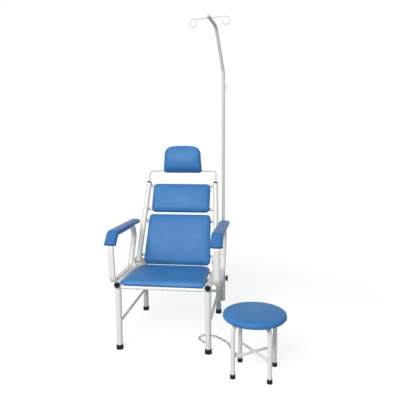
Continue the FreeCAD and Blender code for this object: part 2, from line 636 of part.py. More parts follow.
bolts = []
spacers = []
for side, sign in SIDES:
    name = "arm_tube_" + side
    across = "%s*%s" % (sign, ARM_X)
    loop = bent(name, "YZ_Plane", ARM_RUN, ARM_BENDS, "XZ_Plane", "-arm_seam - weld_root", arm_section,
                base=(across, "0", "0"))
    holes = []
    rail_local = cylinder("arm_rail_core_" + side, ("%s*leg_half" % sign, "0", "0"), "y", "tube_d", "rail_length")
    for spot in ("bolt_front", "bolt_rear"):
        tag = "%s_%s" % (spot, side)
        inner = "%s*(leg_half + tube_d/2 + arm_spacer/2) - tube_d" % sign
        holes.append(cylinder("arm_hole_" + tag, (across + " - arm_wide", spot, "arm_low"), "x",
                              "bolt_d + 2*fit_gap", "2*arm_wide"))
        way = ((0, 1, 0), "%s*90" % sign)
        outside = "%s*(%s + arm_wide/2)" % (sign, ARM_X)
        shank_end = "%s*(leg_half - tube_d/2 - bolt_nut)" % sign
        grip = "%s + arm_wide/2 - leg_half + tube_d/2 + bolt_nut" % ARM_X
        shank = cylinder("bolt_shank_" + tag, (shank_end, spot, "arm_low"), way, "bolt_d", grip)
        head = cylinder("bolt_head_" + tag, (outside, spot, "arm_low"), way, "bolt_head_d", "bolt_head")
        nut = cylinder("bolt_nut_" + tag, (shank_end, spot, "arm_low"), way, "bolt_head_d", "bolt_nut")
        nut_cut = cut("bolt_nut_seat_" + tag, nut, rail_local)
        bolts.append(fuse("arm_bolt_" + tag, shank, head, nut_cut))
        block = cylinder("spacer_block_" + tag, ("%s*leg_half" % sign, spot, "arm_low"), way, "spacer_d",
                         "tube_d/2 + arm_spacer")
        spacer_hole = cylinder("spacer_hole_" + tag, ("%s*leg_half" % sign, spot, "arm_low"), way,
                               "bolt_d + 2*fit_gap", "tube_d + arm_spacer")
        spacers.append(cut("arm_spacer_" + tag, block, spacer_hole, rail_local))
    node(name, RAIL, cut(name + "_drilled", loop, *holes))
    pad = bent("arm_pad_" + side, "YZ_Plane", PAD_RUN, [None, "arm_nose_bend", None], "XZ_Plane", "-pad_rear",
               pad_section, base=(across, "0", "0"))
    node("arm_pad_" + side, RAIL, pad)
node("arm_bolts", RAIL, *bolts)
node("arm_spacers", RAIL, *spacers)

# Hinge brackets on the rails, with their pins
brackets = []
pins = []
for side, sign in SIDES:
    name = "hinge_bracket_" + side
    inner = "(tube_d/2 + bracket_side)"
    outer = "(tube_d/2 + bracket_side + bracket_ear)"
    web_top = "tube_d/2 + bracket_web"
    ear_top = "%s + bracket_over" % HINGE_UP
    corners = [("-" + outer, "tube_d/4"), (outer, "tube_d/4"), (outer, ear_top), (inner, ear_top),
               (inner, web_top), ("-" + inner, web_top), ("-" + inner, ear_top), ("-" + outer, ear_top)]
    channel = plate(name, "XZ_Plane", corners, [None] * len(corners), "-hinge_u - bracket_long/2", "bracket_long",
                    base=("%s*leg_half" % sign, "0", "0"))
    rail_local = cylinder(name + "_rail", ("%s*leg_half" % sign, "0", "0"), "y", "tube_d", "rail_length")
    hole = cylinder(name + "_hole", ("%s*leg_half - tube_d" % sign, "hinge_u", HINGE_UP), "x",
                    "pin_d + 2*fit_gap", "2*tube_d")
    brackets.append(cut(name, channel, rail_local, hole))
    way = ((0, 1, 0), "%s*90" % sign)
    inside = "%s*(leg_half - %s - pin_head)" % (sign, outer)
    head = cylinder("pin_head_" + side, (inside, "hinge_u", HINGE_UP), way, "pin_head_d", "pin_head")
    shank = cylinder("pin_shank_" + side, (inside, "hinge_u", HINGE_UP), way, "pin_d",
                     "2*%s + pin_head" % outer)
    pins.append(fuse("hinge_pin_" + side, head, shank))
node("hinge_brackets", RAIL, *brackets)
node("hinge_pins", RAIL, *pins)

# Back frame: knuckles, tapering uprights, bars, plugs
knuckles = []
top_plugs = []
upright_cores = {}
for side, sign in SIDES:
    lean = ((0, 1, 0), "-(%s)*back_taper" % sign)
    foot = ("%s*leg_half" % sign, "0", "0")
    cut_end = ("%s*(leg_half - knuckle_neck*sin(back_taper))" % sign, "0", "knuckle_neck*cos(back_taper)")
    upright_cores[side] = cylinder("upright_core_" + side, cut_end, lean, "tube_d", "upright_top - knuckle_neck")
    bore = cylinder("upright_bore_" + side, cut_end, lean, "tube_d - 2*tube_wall", "upright_top - knuckle_neck")
    node("back_upright_" + side, BACK, cut("back_upright_" + side, upright_cores[side], bore))
    ball = add("Part::Sphere", "knuckle_ball_" + side)
    bind(ball, "Radius", "tube_d/2")
    place(ball, foot)
    neck = cylinder("knuckle_neck_" + side, foot, lean, "tube_d", "knuckle_neck")
    spigot = cylinder("knuckle_spigot_" + side, foot, lean, "tube_d - 2*tube_wall - 2*fit_gap",
                      "knuckle_neck + knuckle_spigot")
    eye = cylinder("knuckle_eye_" + side, ("%s*leg_half - tube_d" % sign, "0", "0"), "x", "pin_d + 2*run_gap",
                   "2*tube_d")
    knuckles.append(cut("knuckle_" + side, fuse("knuckle_" + side, ball, neck, spigot), eye))
    top = ("%s*%s" % (sign, TOP_HALF), "0", "upright_top*cos(back_taper)")
    dome = plug("top_plug_" + side, "tube_d", "tube_wall", "top_plug_head", "top_plug_shank", top, *lean)
    rod_hole = cylinder("rod_hole_" + side, ("%s*%s" % (sign, TOP_HALF), "0", "rod_foot"), "z", "rod_d + 2*run_gap",
                        "rod_top - rod_foot")
    top_plugs.append(cut("top_plug_bored_" + side, dome, rod_hole))
node("hinge_knuckles", BACK, *knuckles)
node("upright_top_plugs", BACK, *top_plugs)

for place_name in ("low", "waist", "chest", "top"):
    name = "back_bar_" + place_name
    reach = "(leg_half - %s*tan(back_taper) - bar_reach)" % name
    start = ("-" + reach, "back_board_back + bar_d/2", name)
    node("back_crossbar_" + place_name, BACK,
         tube(name, start, "x", "bar_d", "bar_wall", "2*" + reach, upright_cores["left"], upright_cores["right"]))

# Back boards and cushions. The planes' normals point to the front.
lumbar = ("(leg_half - lumbar_low_in)", "(leg_half - lumbar_high_in)", "lumbar_low", "lumbar_high")
chest = ("(leg_half - chest_in)", "(leg_half - chest_in)", "chest_low", "chest_high")
for name, outline, radius in (("lumbar", lumbar, "lumbar_r"), ("chest", chest, "chest_r")):
    node(name + "_board", BACK,
         board(name + "_board", "XZ_Plane", outline, radius, radius, "-back_board_back", "back_board"))
    node(name + "_cushion", BACK,
         cushion(name + "_cushion", "XZ_Plane", outline, radius, radius, "back_board - back_board_back",
                 "back_thick"))


# Head cushion on its sliding rod
def rod_section(sketch):
    """The rod at the foot of its left leg."""
    ring(sketch, ("-" + TOP_HALF, "0"), ["rod_d"])


ROD_RUN = [("-" + TOP_HALF, "rod_foot"), ("-" + TOP_HALF, "rod_top"), (TOP_HALF, "rod_top"),
           (TOP_HALF, "rod_foot")]
node("headrest_rod", BACK,
     bent("headrest_rod", "XZ_Plane", ROD_RUN, [None, "rod_bend", "rod_bend", None], "XY_Plane", "rod_foot",
          rod_section))
head = ("head_low_half", "head_high_half", "head_low", "head_high")
head_seat = "(rod_d/2 + fit_gap)"
node("headrest_board", HEAD,
     board("headrest_board", "XZ_Plane", head, "head_low_r", "head_high_r", head_seat, "head_board"))
node("headrest_cushion", HEAD,
     cushion("headrest_cushion", "XZ_Plane", head, "head_low_r", "head_high_r", head_seat + " + head_board",
             "head_thick"))
clamps = []
for side, sign in SIDES:
    corner = ("%s*clamp_half - clamp_wide/2" % sign, "-" + head_seat, "-rod_d/2 - clamp_back")
    block = box("rod_clamp_" + side, corner, ("clamp_wide", head_seat + " + rod_d/2 + clamp_back", "clamp_tall"))
    hole = cylinder("rod_clamp_hole_" + side, ("%s*clamp_half - clamp_wide" % sign, "0", "0"), "x",
                    "rod_d + 2*fit_gap", "2*clamp_wide")
    mouth = box("rod_clamp_mouth_" + side,
                ("%s*clamp_half - clamp_wide" % sign, "-%s - clamp_back" % head_seat, "-rod_d/2 - fit_gap"),
                ("2*clamp_wide", head_seat + " + clamp_back", "rod_d + 2*fit_gap"))
    clamps.append(cut("rod_clamp_" + side, block, hole, mouth))
node("headrest_clamps", HEAD, *clamps)

# Pole socket on the right rear leg
axis_spot = (POLE_X, POLE_Y)
socket_core = cylinder("socket_core", axis_spot + ("socket_low",), "z", "socket_d", "socket_high - socket_low")
socket_bore = cylinder("socket_bore_bar", axis_spot + ("socket_low",), "z", "socket_bore", "socket_high - socket_low")
screw_way = (POLE_X, POLE_Y, "knob_z")
screw_hole = cylinder("socket_screw_hole", screw_way, "x", "screw_d + 2*run_gap", "socket_d")
node("pole_socket", FLOOR, cut("pole_socket", socket_core, socket_bore, screw_hole))
webs = []
for low in ("web_low", "web_high"):
    slab = box("socket_" + low, ("leg_half + web_thick/2*sin(socket_round)",
                                 "rear_leg_y - web_thick/2*cos(socket_round)", low),
               (SOCKET_REACH, "web_thick", "web_tall"), angle="socket_round")
    webs.append(cut("socket_" + low, slab, leg_cores["rearright"], socket_core))
node("socket_weld_plates", FLOOR, *webs)
stopper = cylinder("socket_stopper", axis_spot + ("socket_low",), "z", "socket_bore - 2*fit_gap", "base_plug")
recess = cylinder("socket_recess", axis_spot + ("socket_low + base_seat",), "z", "pole_d + 2*run_gap", "base_plug")
node("socket_base_plug", FLOOR, cut("socket_base_plug", stopper, recess))
boss = cylinder("clamp_boss_bar", screw_way, "x", "boss_d", "socket_d/2 + boss_out")
boss_hole = cylinder("clamp_boss_hole", screw_way, "x", "screw_d + 2*run_gap", "socket_d + boss_out")
node("clamp_boss", FLOOR, cut("clamp_boss", boss, boss_hole, socket_core))

knob_start = "%s + socket_d/2 + boss_out + knob_gap" % POLE_X
knob = cylinder("knob_blank", (knob_start, POLE_Y, "knob_z"), "x", "knob_d", "knob_thick")
notches = []
for lobe in range(6):
    turn = 60 * lobe
    notches.append(cylinder("knob_notch_%d" % lobe,
                            (knob_start, "%s + 0.56*knob_d*cos(%d)" % (POLE_Y, turn),
                             "knob_z + 0.56*knob_d*sin(%d)" % turn),
                            "x", "knob_notch", "knob_thick"))
screw_tip = "%s + pole_d/2 + run_gap" % POLE_X
knob_bore = cylinder("knob_bore", (knob_start, POLE_Y, "knob_z"), "x", "screw_d + 2*fit_gap", "0.7*knob_thick")
node("clamp_knob", FLOOR, cut("clamp_knob", knob, *notches, knob_bore))
screw_length = "socket_d/2 + boss_out + knob_gap + 0.7*knob_thick - pole_d/2 - run_gap"
node("clamp_screw", FLOOR, cylinder("clamp_screw_bar", (screw_tip, POLE_Y, "knob_z"), "x", "screw_d",
                                    screw_length))

# Swivel bush, and the bent pole with its hooks
sleeve = cylinder("bush_sleeve", ("0", "0", "socket_high - bush_long"), "z", "socket_bore - 2*run_gap",
                  "bush_long + run_gap")
flange = cylinder("bush_flange_disc", ("0", "0", "socket_high + run_gap"), "z", "bush_flange_d", "bush_flange")
bush_bore = cylinder("bush_bore", ("0", "0", "socket_high - bush_long"), "z", "pole_d + 2*run_gap",
                     "bush_long + bush_flange + 2*run_gap")
node("swivel_bush", POLE, cut("swivel_bush", fuse("swivel_bush", sleeve, flange), bush_bore))


def pole_section(sketch):
    """The pole's ring at its foot."""
    ring(sketch, ("0", "0"), ["pole_d", "pole_d - 2*pole_wall"])


POLE_FOOT = "socket_low + base_seat + run_gap"
MID_Y = "(-pole_mid*sin(pole_lean))"
MID_Z = "(pole_knee + pole_mid*cos(pole_lean))"
TIP_Y = "(%s - pole_tip*sin(tip_lean))" % MID_Y
TIP_Z = "(%s + pole_tip*cos(tip_lean))" % MID_Z
HOOK_Y = "(%s + hook_back*sin(tip_lean))" % TIP_Y
HOOK_Z = "(%s - hook_back*cos(tip_lean))" % TIP_Z
pole_run = [("0", POLE_FOOT), ("0", "pole_knee"), (MID_Y, MID_Z), (TIP_Y, TIP_Z)]
mast = bent("pole_tube", "YZ_Plane", pole_run, [None, "pole_bend", "pole_bend", None], "XY_Plane", POLE_FOOT,
            pole_section)
hook_hole = cylinder("hook_hole", ("-hook_half", HOOK_Y, HOOK_Z), "x", "hook_d + 2*fit_gap", "2*hook_half")
node("pole_tube", POLE, cut("pole_tube", mast, hook_hole))
node("pole_end_cap", POLE, plug("pole_end_cap", "pole_d", "pole_wall", "tip_cap", "2*tip_cap", ("0", TIP_Y, TIP_Z),
                                (1, 0, 0), "tip_lean"))
hook_pieces = [cylinder("hook_straight", ("-hook_half", HOOK_Y, HOOK_Z), "x", "hook_d", "2*hook_half")]
for side, sign, quarter in (("left", "-1", 90), ("right", "1", 180)):
    curl = add("Part::Torus", "hook_curl_" + side)
    bind(curl, "Radius1", "hook_r")
    bind(curl, "Radius2", "hook_d/2")
    bind(curl, "Angle3", "hook_sweep")
    place(curl, ("%s*hook_half" % sign, HOOK_Y, HOOK_Z + " - hook_r"))
    curl.Placement = Placement(Vector(0, 0, 0), Rotation(Vector(1, 0, 0), 90) * Rotation(Vector(0, 0, 1), quarter))
    hook_pieces.append(curl)
node("bag_hook_bar", POLE, fuse("bag_hook_bar", *hook_pieces))
peg_x = "pole_d/2 + peg_d/2"
peg_curl = add("Part::Torus", "peg_curl")
bind(peg_curl, "Radius1", "peg_r")
bind(peg_curl, "Radius2", "peg_d/2")
bind(peg_curl, "Angle3", "180")
place(peg_curl, (peg_x + " + peg_r", "0", "peg_z"))
peg_curl.Placement = Placement(Vector(0, 0, 0), Rotation(Vector(1, 0, 0), 90) * Rotation(Vector(0, 0, 1), 180))
stems = [cylinder("peg_stem_%d" % end, ("%s + %d*peg_r" % (peg_x, end), "0", "peg_z"), "z", "peg_d", "peg_stem")
         for end in (0, 2)]
node("side_hook", POLE, fuse("side_hook", peg_curl, *stems))

# Stool: one whole hoop, one in halves welded to it, braces, feet, board and cushion
STOOL_BOARD_Z = "(stool_high - stool_crown - stool_foam - stool_board)"
HOOP_Z = "(%s - stool_tube/2)" % STOOL_BOARD_Z
HOOP_RUN = [("-stool_reach", "foot_floor"), ("-stool_reach", HOOP_Z), ("stool_reach", HOOP_Z),
            ("stool_reach", "foot_floor")]


def hoop_section(sketch):
    """The stool tube's ring at a leg's foot."""
    ring(sketch, ("-stool_reach", "0"), ["stool_tube", "stool_tube - 2*stool_wall"])


hoops = {}
posts = []
for name, turn in (("whole", "45"), ("split", "-45")):
    hoops[name] = bent("stool_hoop_" + name, "XZ_Plane", HOOP_RUN, [None, "stool_bend", "stool_bend", None],
                       "XY_Plane", "foot_floor", hoop_section, axis=(0, 0, 1), angle=turn)
    for sign in ("-1", "1"):
        posts.append(("%s*stool_reach*cos(%s)" % (sign, turn), "%s*stool_reach*sin(%s)" % (sign, turn)))
hoop_core = cylinder("stool_hoop_core", ("-0.5*stool_reach*cos(45)", "-0.5*stool_reach*sin(45)", HOOP_Z),
                     ((1, -1, 0), "-90"), "stool_tube", "stool_reach")
node("stool_hoop", STOOL, hoops["whole"])
node("stool_hoop_halves", STOOL, cut("stool_hoop_halves", hoops["split"], hoop_core))
post_cores = [cylinder("stool_post_core_%d" % number, spot + ("foot_floor",), "z", "stool_tube", HOOP_Z)
              for number, spot in enumerate(posts)]
brace_bars = []
for name, away, spot, shaped in (("whole", (1, -1, 0), posts[0], post_cores[:2]),
                                 ("split", (1, 1, 0), posts[2], post_cores[2:])):
    way = (away, "-90" if name == "whole" else "90")
    if name == "split":
        shaped = shaped + [cylinder("stool_brace_core", posts[0] + ("brace_z",), ((1, -1, 0), "-90"), "brace_d",
                                    "2*stool_reach")]
    brace_bars.append(tube("stool_brace_" + name, spot + ("brace_z",), way, "brace_d", "brace_wall",
                           "2*stool_reach", *shaped))
node("stool_braces", STOOL, *brace_bars)
node("stool_feet", STOOL, *[cup("stool_foot_%d" % number, spot, "cup_d", "cup_top_d", "cup_height", "foot_floor",
                                "stool_tube") for number, spot in enumerate(posts)])
node("stool_board", STOOL, cylinder("stool_board_disc", ("0", "0", STOOL_BOARD_Z), "z",
                                    "2*(stool_half - board_inset)", "stool_board"))
FOAM_Z = "(%s + stool_board)" % STOOL_BOARD_Z
stool_profile = [("0", FOAM_Z), ("stool_half - seam_in", FOAM_Z), ("stool_half", FOAM_Z + " + 0.4*stool_foam"),
                 ("stool_half - seam_in", FOAM_Z + " + stool_foam"), ("0", "stool_high")]
node("stool_cushion", STOOL,
     revolved("stool_cushion", stool_profile, [None, None, "stool_edge_r", "stool_edge_r", None]))


# Chain eyes welded to a chair leg and a stool leg, and the links between them
def eye(name, spot, core):
    """A ring of wire on a leg, its hole level."""
    loop = add("Part::Torus", name + "_ring")
    bind(loop, "Radius1", "eye_r")
    bind(loop, "Radius2", "eye_wire/2")
    place(loop, spot)
    return cut(name, loop, core)


EYE_OUT = "(0.75*eye_r)"
node("chair_chain_eye", FLOOR,
     eye("chair_chain_eye", ("leg_half", "tube_d/2 + %s" % EYE_OUT, "eye_z"), leg_cores["frontright"]))
stool_eye_spot = (posts[2][0], "%s + stool_tube/2 + %s" % (posts[2][1], EYE_OUT), "eye_z")
node("stool_chain_eye", STOOL, eye("stool_chain_eye", stool_eye_spot, post_cores[2]))


def link(middle, along, tilt):
    """One link: a wire with flats, bent round to a long ring, lying along a direction."""
    wire = value("chain_wire")
    half_width = value("chain_inside") / 2 + wire / 2
    straight = value("chain_pitch") / 2 + wire / 2 - half_width
    rim = []
    for step in range(8):
        turn = math.radians(22.5 + 45 * step)
        reach = half_width / math.cos(math.radians(22.5))
        shift = straight if math.cos(turn) > 0 else -straight
        rim.append(Vector(reach * math.cos(turn) + shift, reach * math.sin(turn), 0))
    side = rim[1] - rim[0]
    section_r = wire / 2 / math.cos(math.pi / 8)
    middle_of_side = (rim[0] + rim[1]) * 0.5
    spine = Part.makePolygon([middle_of_side] + rim[1:] + [rim[0], middle_of_side])
    section = []
    across = side.cross(Vector(0, 0, 1)).normalize()
    for step in range(9):
        turn = math.radians(22.5 + 45 * step)
        section.append(middle_of_side + across * (section_r * math.cos(turn))
                       + Vector(0, 0, section_r * math.sin(turn)))
    ring_solid = spine.makePipeShell([Part.makePolygon(section)], True, False, 1)
    along = Vector(along).normalize()
    level = Vector(0, 0, 1).cross(along).normalize()
    turn = Rotation(along, level, along.cross(level), "XYZ")
    ring_solid.Placement = Placement(middle, turn * Rotation(Vector(1, 0, 0), tilt))
    return ring_solid


def chain():
    """Links hung through one another at a steady pitch, from the chair leg's eye to the stool leg's."""
    pitch = value("chain_pitch - 4*run_gap")
    hold = value("(chain_pitch - eye_wire)/2 - 2*run_gap")
    chair_eye = Vector(value("leg_half"), value("tube_d/2 + " + EYE_OUT), value("eye_z"))
    turned = Rotation(Vector(0, 0, 1), value("stool_turn"))
    local_eye = Vector(*[value(text) for text in stool_eye_spot])
    stool_eye = Vector(value("stool_x"), value("stool_y"), 0) + turned.multVec(local_eye)
    ends = []
    for middle, level in ((chair_eye, Vector(0, 1, 0)), (stool_eye, Vector(-0.644, 0.764, 0))):
        way = level * value("cos(chain_drop)") - Vector(0, 0, value("sin(chain_drop)"))
        bite = middle + level * value("eye_r")
        ends.append([bite + way * (hold - pitch / 2), bite + way * (hold + pitch / 2)])
    first = ends[0]
    last = ends[1][::-1]
    route = Part.BSplineCurve()
    route.interpolate([first[1]] + [Vector(*spot) for spot in CHAIN_ROUTE] + [last[0]])
    between = math.ceil(route.length() / pitch)
    spots = [first[0]] + route.discretize(Number=between + 1) + [last[1]]
    count = len(spots) - 1
    flat = value("chain_tilt")
    end_tilt = 90 if count % 2 else 0
    turning = 6
    links = []
    for number in range(count):
        middle = (spots[number] + spots[number + 1]) * 0.5
        from_end = count - 1 - number
        lift = flat
        if number < turning:
            lift += (90 - flat) * (turning - number) / turning
        if from_end < turning:
            lift += (end_tilt - flat) * (turning - from_end) / turning
        tilt = lift - 90 if number % 2 else lift
        links.append(link(middle, spots[number + 1] - spots[number], tilt))
    print("chain: %d links, %.0f mm" % (count, route.length() + 2 * pitch))
    return Part.makeCompound(links)


links = add("Part::Feature", "chain_links")
links.Shape = chain()
node("security_chain", FLOOR, links)

doc.recompute()


def whole_box():
    """The box of every sub-part together."""
    total = FreeCAD.BoundBox()
    for group in nodes:
        total.add(group.Shape.optimalBoundingBox(False))
    return total


extent = whole_box()
sheet.set(CELLS["origin_x"], repr((extent.XMin + extent.XMax) / 2))
sheet.set(CELLS["origin_y"], repr((extent.YMin + extent.YMax) / 2))
doc.recompute()

for thing in doc.Objects:
    if "Invalid" in thing.State or "Error" in thing.State:
        raise RuntimeError("%s did not build: %s" % (thing.Name, thing.State))
for group in nodes:
    if group.Shape.isNull() or not group.Shape.isValid():
        raise RuntimeError("%s has no valid shape" % group.Label)

os.makedirs("parts", exist_ok=True)
for group in nodes:
    group.Shape.exportStep("parts/%s.step" % group.Label)
    print("%-24s solids %d volume %.0f" % (group.Label, len(group.Shape.Solids), group.Shape.Volume))
print("box", whole_box())
HOOK_LOW = HOOK_Z + " - hook_r"
HOOK_SPOTS = [("%s + %s*hook_half*cos(pole_turn) - %s*sin(pole_turn)" % (POLE_X, sign, HOOK_Y),
               "%s + %s*hook_half*sin(pole_turn) + %s*cos(pole_turn)" % (POLE_Y, sign, HOOK_Y), HOOK_LOW)
              for side, sign in SIDES]
ANCHORS = (
    ("hinge", ("0", HINGE_Y, HINGE_Z)),
    ("head", ("0", HEAD_Y, HEAD_Z)),
    ("pole", (POLE_X, POLE_Y, "socket_high")),
    ("knob", (knob_start, POLE_Y, "knob_z")),
    ("stool", ("stool_x", "stool_y", "0")),
    ("leg", ("leg_half", "0", "0")),
    ("left bag hook", HOOK_SPOTS[0]),
    ("right bag hook", HOOK_SPOTS[1]),
)
for name, spot in ANCHORS:
    print("anchor", name, [round(value(text) - shift, 3) for text, shift in
                           zip(spot, (value("origin_x"), value("origin_y"), 0.0))])
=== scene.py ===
"""Looks of an infusion chair with a drip pole and a chained stool.

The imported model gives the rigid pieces. This file adds the soft cushions, the chain's round links,
weld beads, covers and fasteners, the finishes, the light and the camera.
"""

from __future__ import annotations

import json
import logging
import math
from dataclasses import dataclass
from enum import Enum
from typing import Any, Mapping, Sequence

import bmesh
import bpy
import numpy as np
from mathutils import Matrix, Vector

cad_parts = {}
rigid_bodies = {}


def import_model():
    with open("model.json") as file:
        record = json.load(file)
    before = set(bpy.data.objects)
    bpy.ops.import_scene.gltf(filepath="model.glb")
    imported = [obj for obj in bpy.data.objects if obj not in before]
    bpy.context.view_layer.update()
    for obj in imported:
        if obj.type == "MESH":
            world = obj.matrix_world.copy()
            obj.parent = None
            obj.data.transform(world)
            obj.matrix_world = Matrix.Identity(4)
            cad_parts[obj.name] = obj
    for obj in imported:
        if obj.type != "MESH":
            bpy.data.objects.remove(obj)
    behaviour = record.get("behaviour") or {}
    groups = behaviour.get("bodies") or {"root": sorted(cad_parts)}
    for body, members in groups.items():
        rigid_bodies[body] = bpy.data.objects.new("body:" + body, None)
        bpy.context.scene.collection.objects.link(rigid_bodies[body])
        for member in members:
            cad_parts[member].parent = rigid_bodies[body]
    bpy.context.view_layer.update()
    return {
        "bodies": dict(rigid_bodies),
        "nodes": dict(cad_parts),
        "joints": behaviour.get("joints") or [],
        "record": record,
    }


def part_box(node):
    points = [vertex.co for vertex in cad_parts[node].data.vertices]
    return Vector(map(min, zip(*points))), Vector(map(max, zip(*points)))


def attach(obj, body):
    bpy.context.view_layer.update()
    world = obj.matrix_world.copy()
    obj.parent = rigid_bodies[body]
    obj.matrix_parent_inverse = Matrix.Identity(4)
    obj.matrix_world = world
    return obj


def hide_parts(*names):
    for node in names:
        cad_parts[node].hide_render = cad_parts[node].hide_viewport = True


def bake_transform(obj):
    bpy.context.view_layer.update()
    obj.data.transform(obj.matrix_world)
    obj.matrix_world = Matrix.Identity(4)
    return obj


LOG = logging.getLogger("infusion_chair")
MM = 0.001
TINY = 1e-9
BACK_LEAN = math.radians(25.5)
HEAD_LEAN = math.radians(1.5)
SEAT_SLOPE = math.radians(2.2)
WHITE = (1.0, 1.0, 1.0, 1.0)
# Colour sockets of the Mix node, by number because their names aren't unique
MIX_A = 6
MIX_B = 7
MIX_RESULT = 2


class Axis(Enum):
    """Directions in which a cushion can face, in chair coordinates."""

    UP = (0.0, 0.0, 1.0)
    BACK_FRONT = (0.0, -math.cos(BACK_LEAN), math.sin(BACK_LEAN))
    HEAD_FRONT = (0.0, -math.cos(HEAD_LEAN), math.sin(HEAD_LEAN))
    SEAT_UP = (0.0, math.sin(SEAT_SLOPE), math.cos(SEAT_SLOPE))


class Ends(Enum):
    """How the first and the last of a row of rings end."""

    OPEN = "open"
    CAPPED = "capped"
    JOINED = "joined"


def linear(hex_colour: str) -> tuple[float, float, float, float]:
    """Turn an sRGB hex colour into linear RGBA.

    Args:
        hex_colour: Colour as #RRGGBB.

    Returns:
        Linear red, green, blue and an alpha of 1.
    """
    parts = [int(hex_colour[i:i + 2], 16) / 255 for i in (1, 3, 5)]
    return (*[c / 12.92 if c <= 0.04045 else ((c + 0.055) / 1.055) ** 2.4 for c in parts], 1.0)


def per_metre(size_mm: float) -> float:
    """Texture scale that repeats about once in a size given in millimetres."""
    return 1000.0 / size_mm


def add_node(tree: bpy.types.NodeTree, kind: str, inputs: Mapping[str | int, Any] | None = None,
             **settings: Any) -> bpy.types.Node:
    """Add a shader node with its settings, values and links.

    Args:
        tree: Tree to add to.
        kind: Blender's node type.
        inputs: Value or source socket for each named or numbered input.
        **settings: Attributes of the node.

    Returns:
        The new node.
    """
    node = tree.nodes.new(kind)
    for name, setting in settings.items():
        setattr(node, name, setting)
    for key, source in (inputs or {}).items():
        if isinstance(source, bpy.types.NodeSocket):
            tree.links.new(source, node.inputs[key])
        else:
            node.inputs[key].default_value = source
    return node


def empty_tree(owner: bpy.types.Material | bpy.types.World) -> bpy.types.NodeTree:
    """Give a material or a world an empty tree of nodes.

    Args:
        owner: The material or the world.

    Returns:
        Its tree.
    """
    owner.use_nodes = True
    owner.node_tree.nodes.clear()
    return owner.node_tree


@dataclass(frozen=True)
class Surface:
    """A material in the making: its tree, its shader, and object coordinates in metres."""

    material: bpy.types.Material
    tree: bpy.types.NodeTree
    shader: bpy.types.Node
    place: bpy.types.NodeSocket


@dataclass(frozen=True)
class Finish:
    """A surface finish: what it is made of and how it takes the light."""

    name: str
    colour: str
    roughness: float
    ior: float = 1.5

    def start(self, more: Mapping[str, float] | None = None) -> Surface:
        """Begin a material.

        Args:
            more: Further values of the shader, by socket name.

        Returns:
            The material in the making.
        """
        material = bpy.data.materials.new(self.name)
        tree = empty_tree(material)
        shader = add_node(tree, "ShaderNodeBsdfPrincipled", {
            "Base Color": linear(self.colour), "Roughness": self.roughness, "IOR": self.ior, **(more or {})})
        add_node(tree, "ShaderNodeOutputMaterial", {"Surface": shader.outputs["BSDF"]})
        return Surface(material, tree, shader, add_node(tree, "ShaderNodeTexCoord").outputs["Object"])

    def mix_in(self, surface: Surface, other: str, share: bpy.types.NodeSocket) -> None:
        """Blend the base colour towards another.

        Args:
            surface: The material in the making.
            other: The second colour, as hex.
            share: How much of it shows, from 0 to 1.
        """
        mix = add_node(surface.tree, "ShaderNodeMix", {
            "Factor": share, MIX_A: linear(self.colour), MIX_B: linear(other)}, data_type="RGBA")
        surface.tree.links.new(mix.outputs[MIX_RESULT], surface.shader.inputs["Base Color"])

    def vary(self, surface: Surface, other: str, patch_mm: float, low: float, high: float) -> None:
        """Blend the base colour softly towards another in patches.

        Args:
            surface: The material in the making.
            other: The second colour, as hex.
            patch_mm: Size of the patches.
            low: Noise below which the colour is the base one.
            high: Noise above which it is the other.
        """
        noise = add_node(surface.tree, "ShaderNodeTexNoise", {
            "Vector": surface.place, "Scale": per_metre(patch_mm), "Detail": 4.0, "Roughness": 0.55})
        amount = add_node(surface.tree, "ShaderNodeMapRange", {
            "Value": noise.outputs["Fac"], "From Min": low, "From Max": high},
            interpolation_type="SMOOTHSTEP")
        self.mix_in(surface, other, amount.outputs["Result"])

    def gloss(self, surface: Surface, patch_mm: float, spread: float) -> None:
        """Let the roughness wander about its typical value.

        Args:
            surface: The material in the making.
            patch_mm: Size of the patches.
            spread: Change to each side.
        """
        noise = add_node(surface.tree, "ShaderNodeTexNoise", {
            "Vector": surface.place, "Scale": per_metre(patch_mm), "Detail": 5.0, "Roughness": 0.6})
        amount = add_node(surface.tree, "ShaderNodeMapRange", {
            "Value": noise.outputs["Fac"], "From Min": 0.3, "From Max": 0.7,
            "To Min": self.roughness - spread, "To Max": self.roughness + spread})
        surface.tree.links.new(amount.outputs["Result"], surface.shader.inputs["Roughness"])

    def raise_up(self, surface: Surface, height: bpy.types.NodeSocket, depth_mm: float,
                 strength: float) -> None:
        """Give the surface a fine relief.

        Args:
            surface: The material in the making.
            height: Relief from 0 to 1.
            depth_mm: Depth of the relief.
            strength: How much of it shows.
        """
        bump = add_node(surface.tree, "ShaderNodeBump", {
            "Height": height, "Distance": depth_mm * MM, "Strength": strength})
        surface.tree.links.new(bump.outputs["Normal"], surface.shader.inputs["Normal"])


@dataclass(frozen=True)
class Leathercloth(Finish):
    """PVC leathercloth, calendered and embossed: a soft gloss over a fine grain of cells."""

    worn: str = "#437FBA"
    grain_mm: float = 2.2

    def build(self) -> bpy.types.Material:
        """Make the material."""
        # The embossing breaks up the mirror image, so less of it is left than on smooth PVC
        surface = self.start({"Specular IOR Level": 0.23})
        self.vary(surface, self.worn, patch_mm=210.0, low=0.42, high=0.75)
        self.gloss(surface, patch_mm=34.0, spread=0.05)
        # The real grain is under a millimetre; it is drawn coarser so that it shows
        cells = add_node(surface.tree, "ShaderNodeTexVoronoi", {
            "Vector": surface.place, "Scale": per_metre(self.grain_mm)}, feature="DISTANCE_TO_EDGE")
        crease = add_node(surface.tree, "ShaderNodeMapRange", {
            "Value": cells.outputs["Distance"], "From Min": 0.0, "From Max": 0.12},
            interpolation_type="SMOOTHSTEP")
        self.raise_up(surface, crease.outputs["Result"], depth_mm=0.08, strength=0.22)
        return surface.material


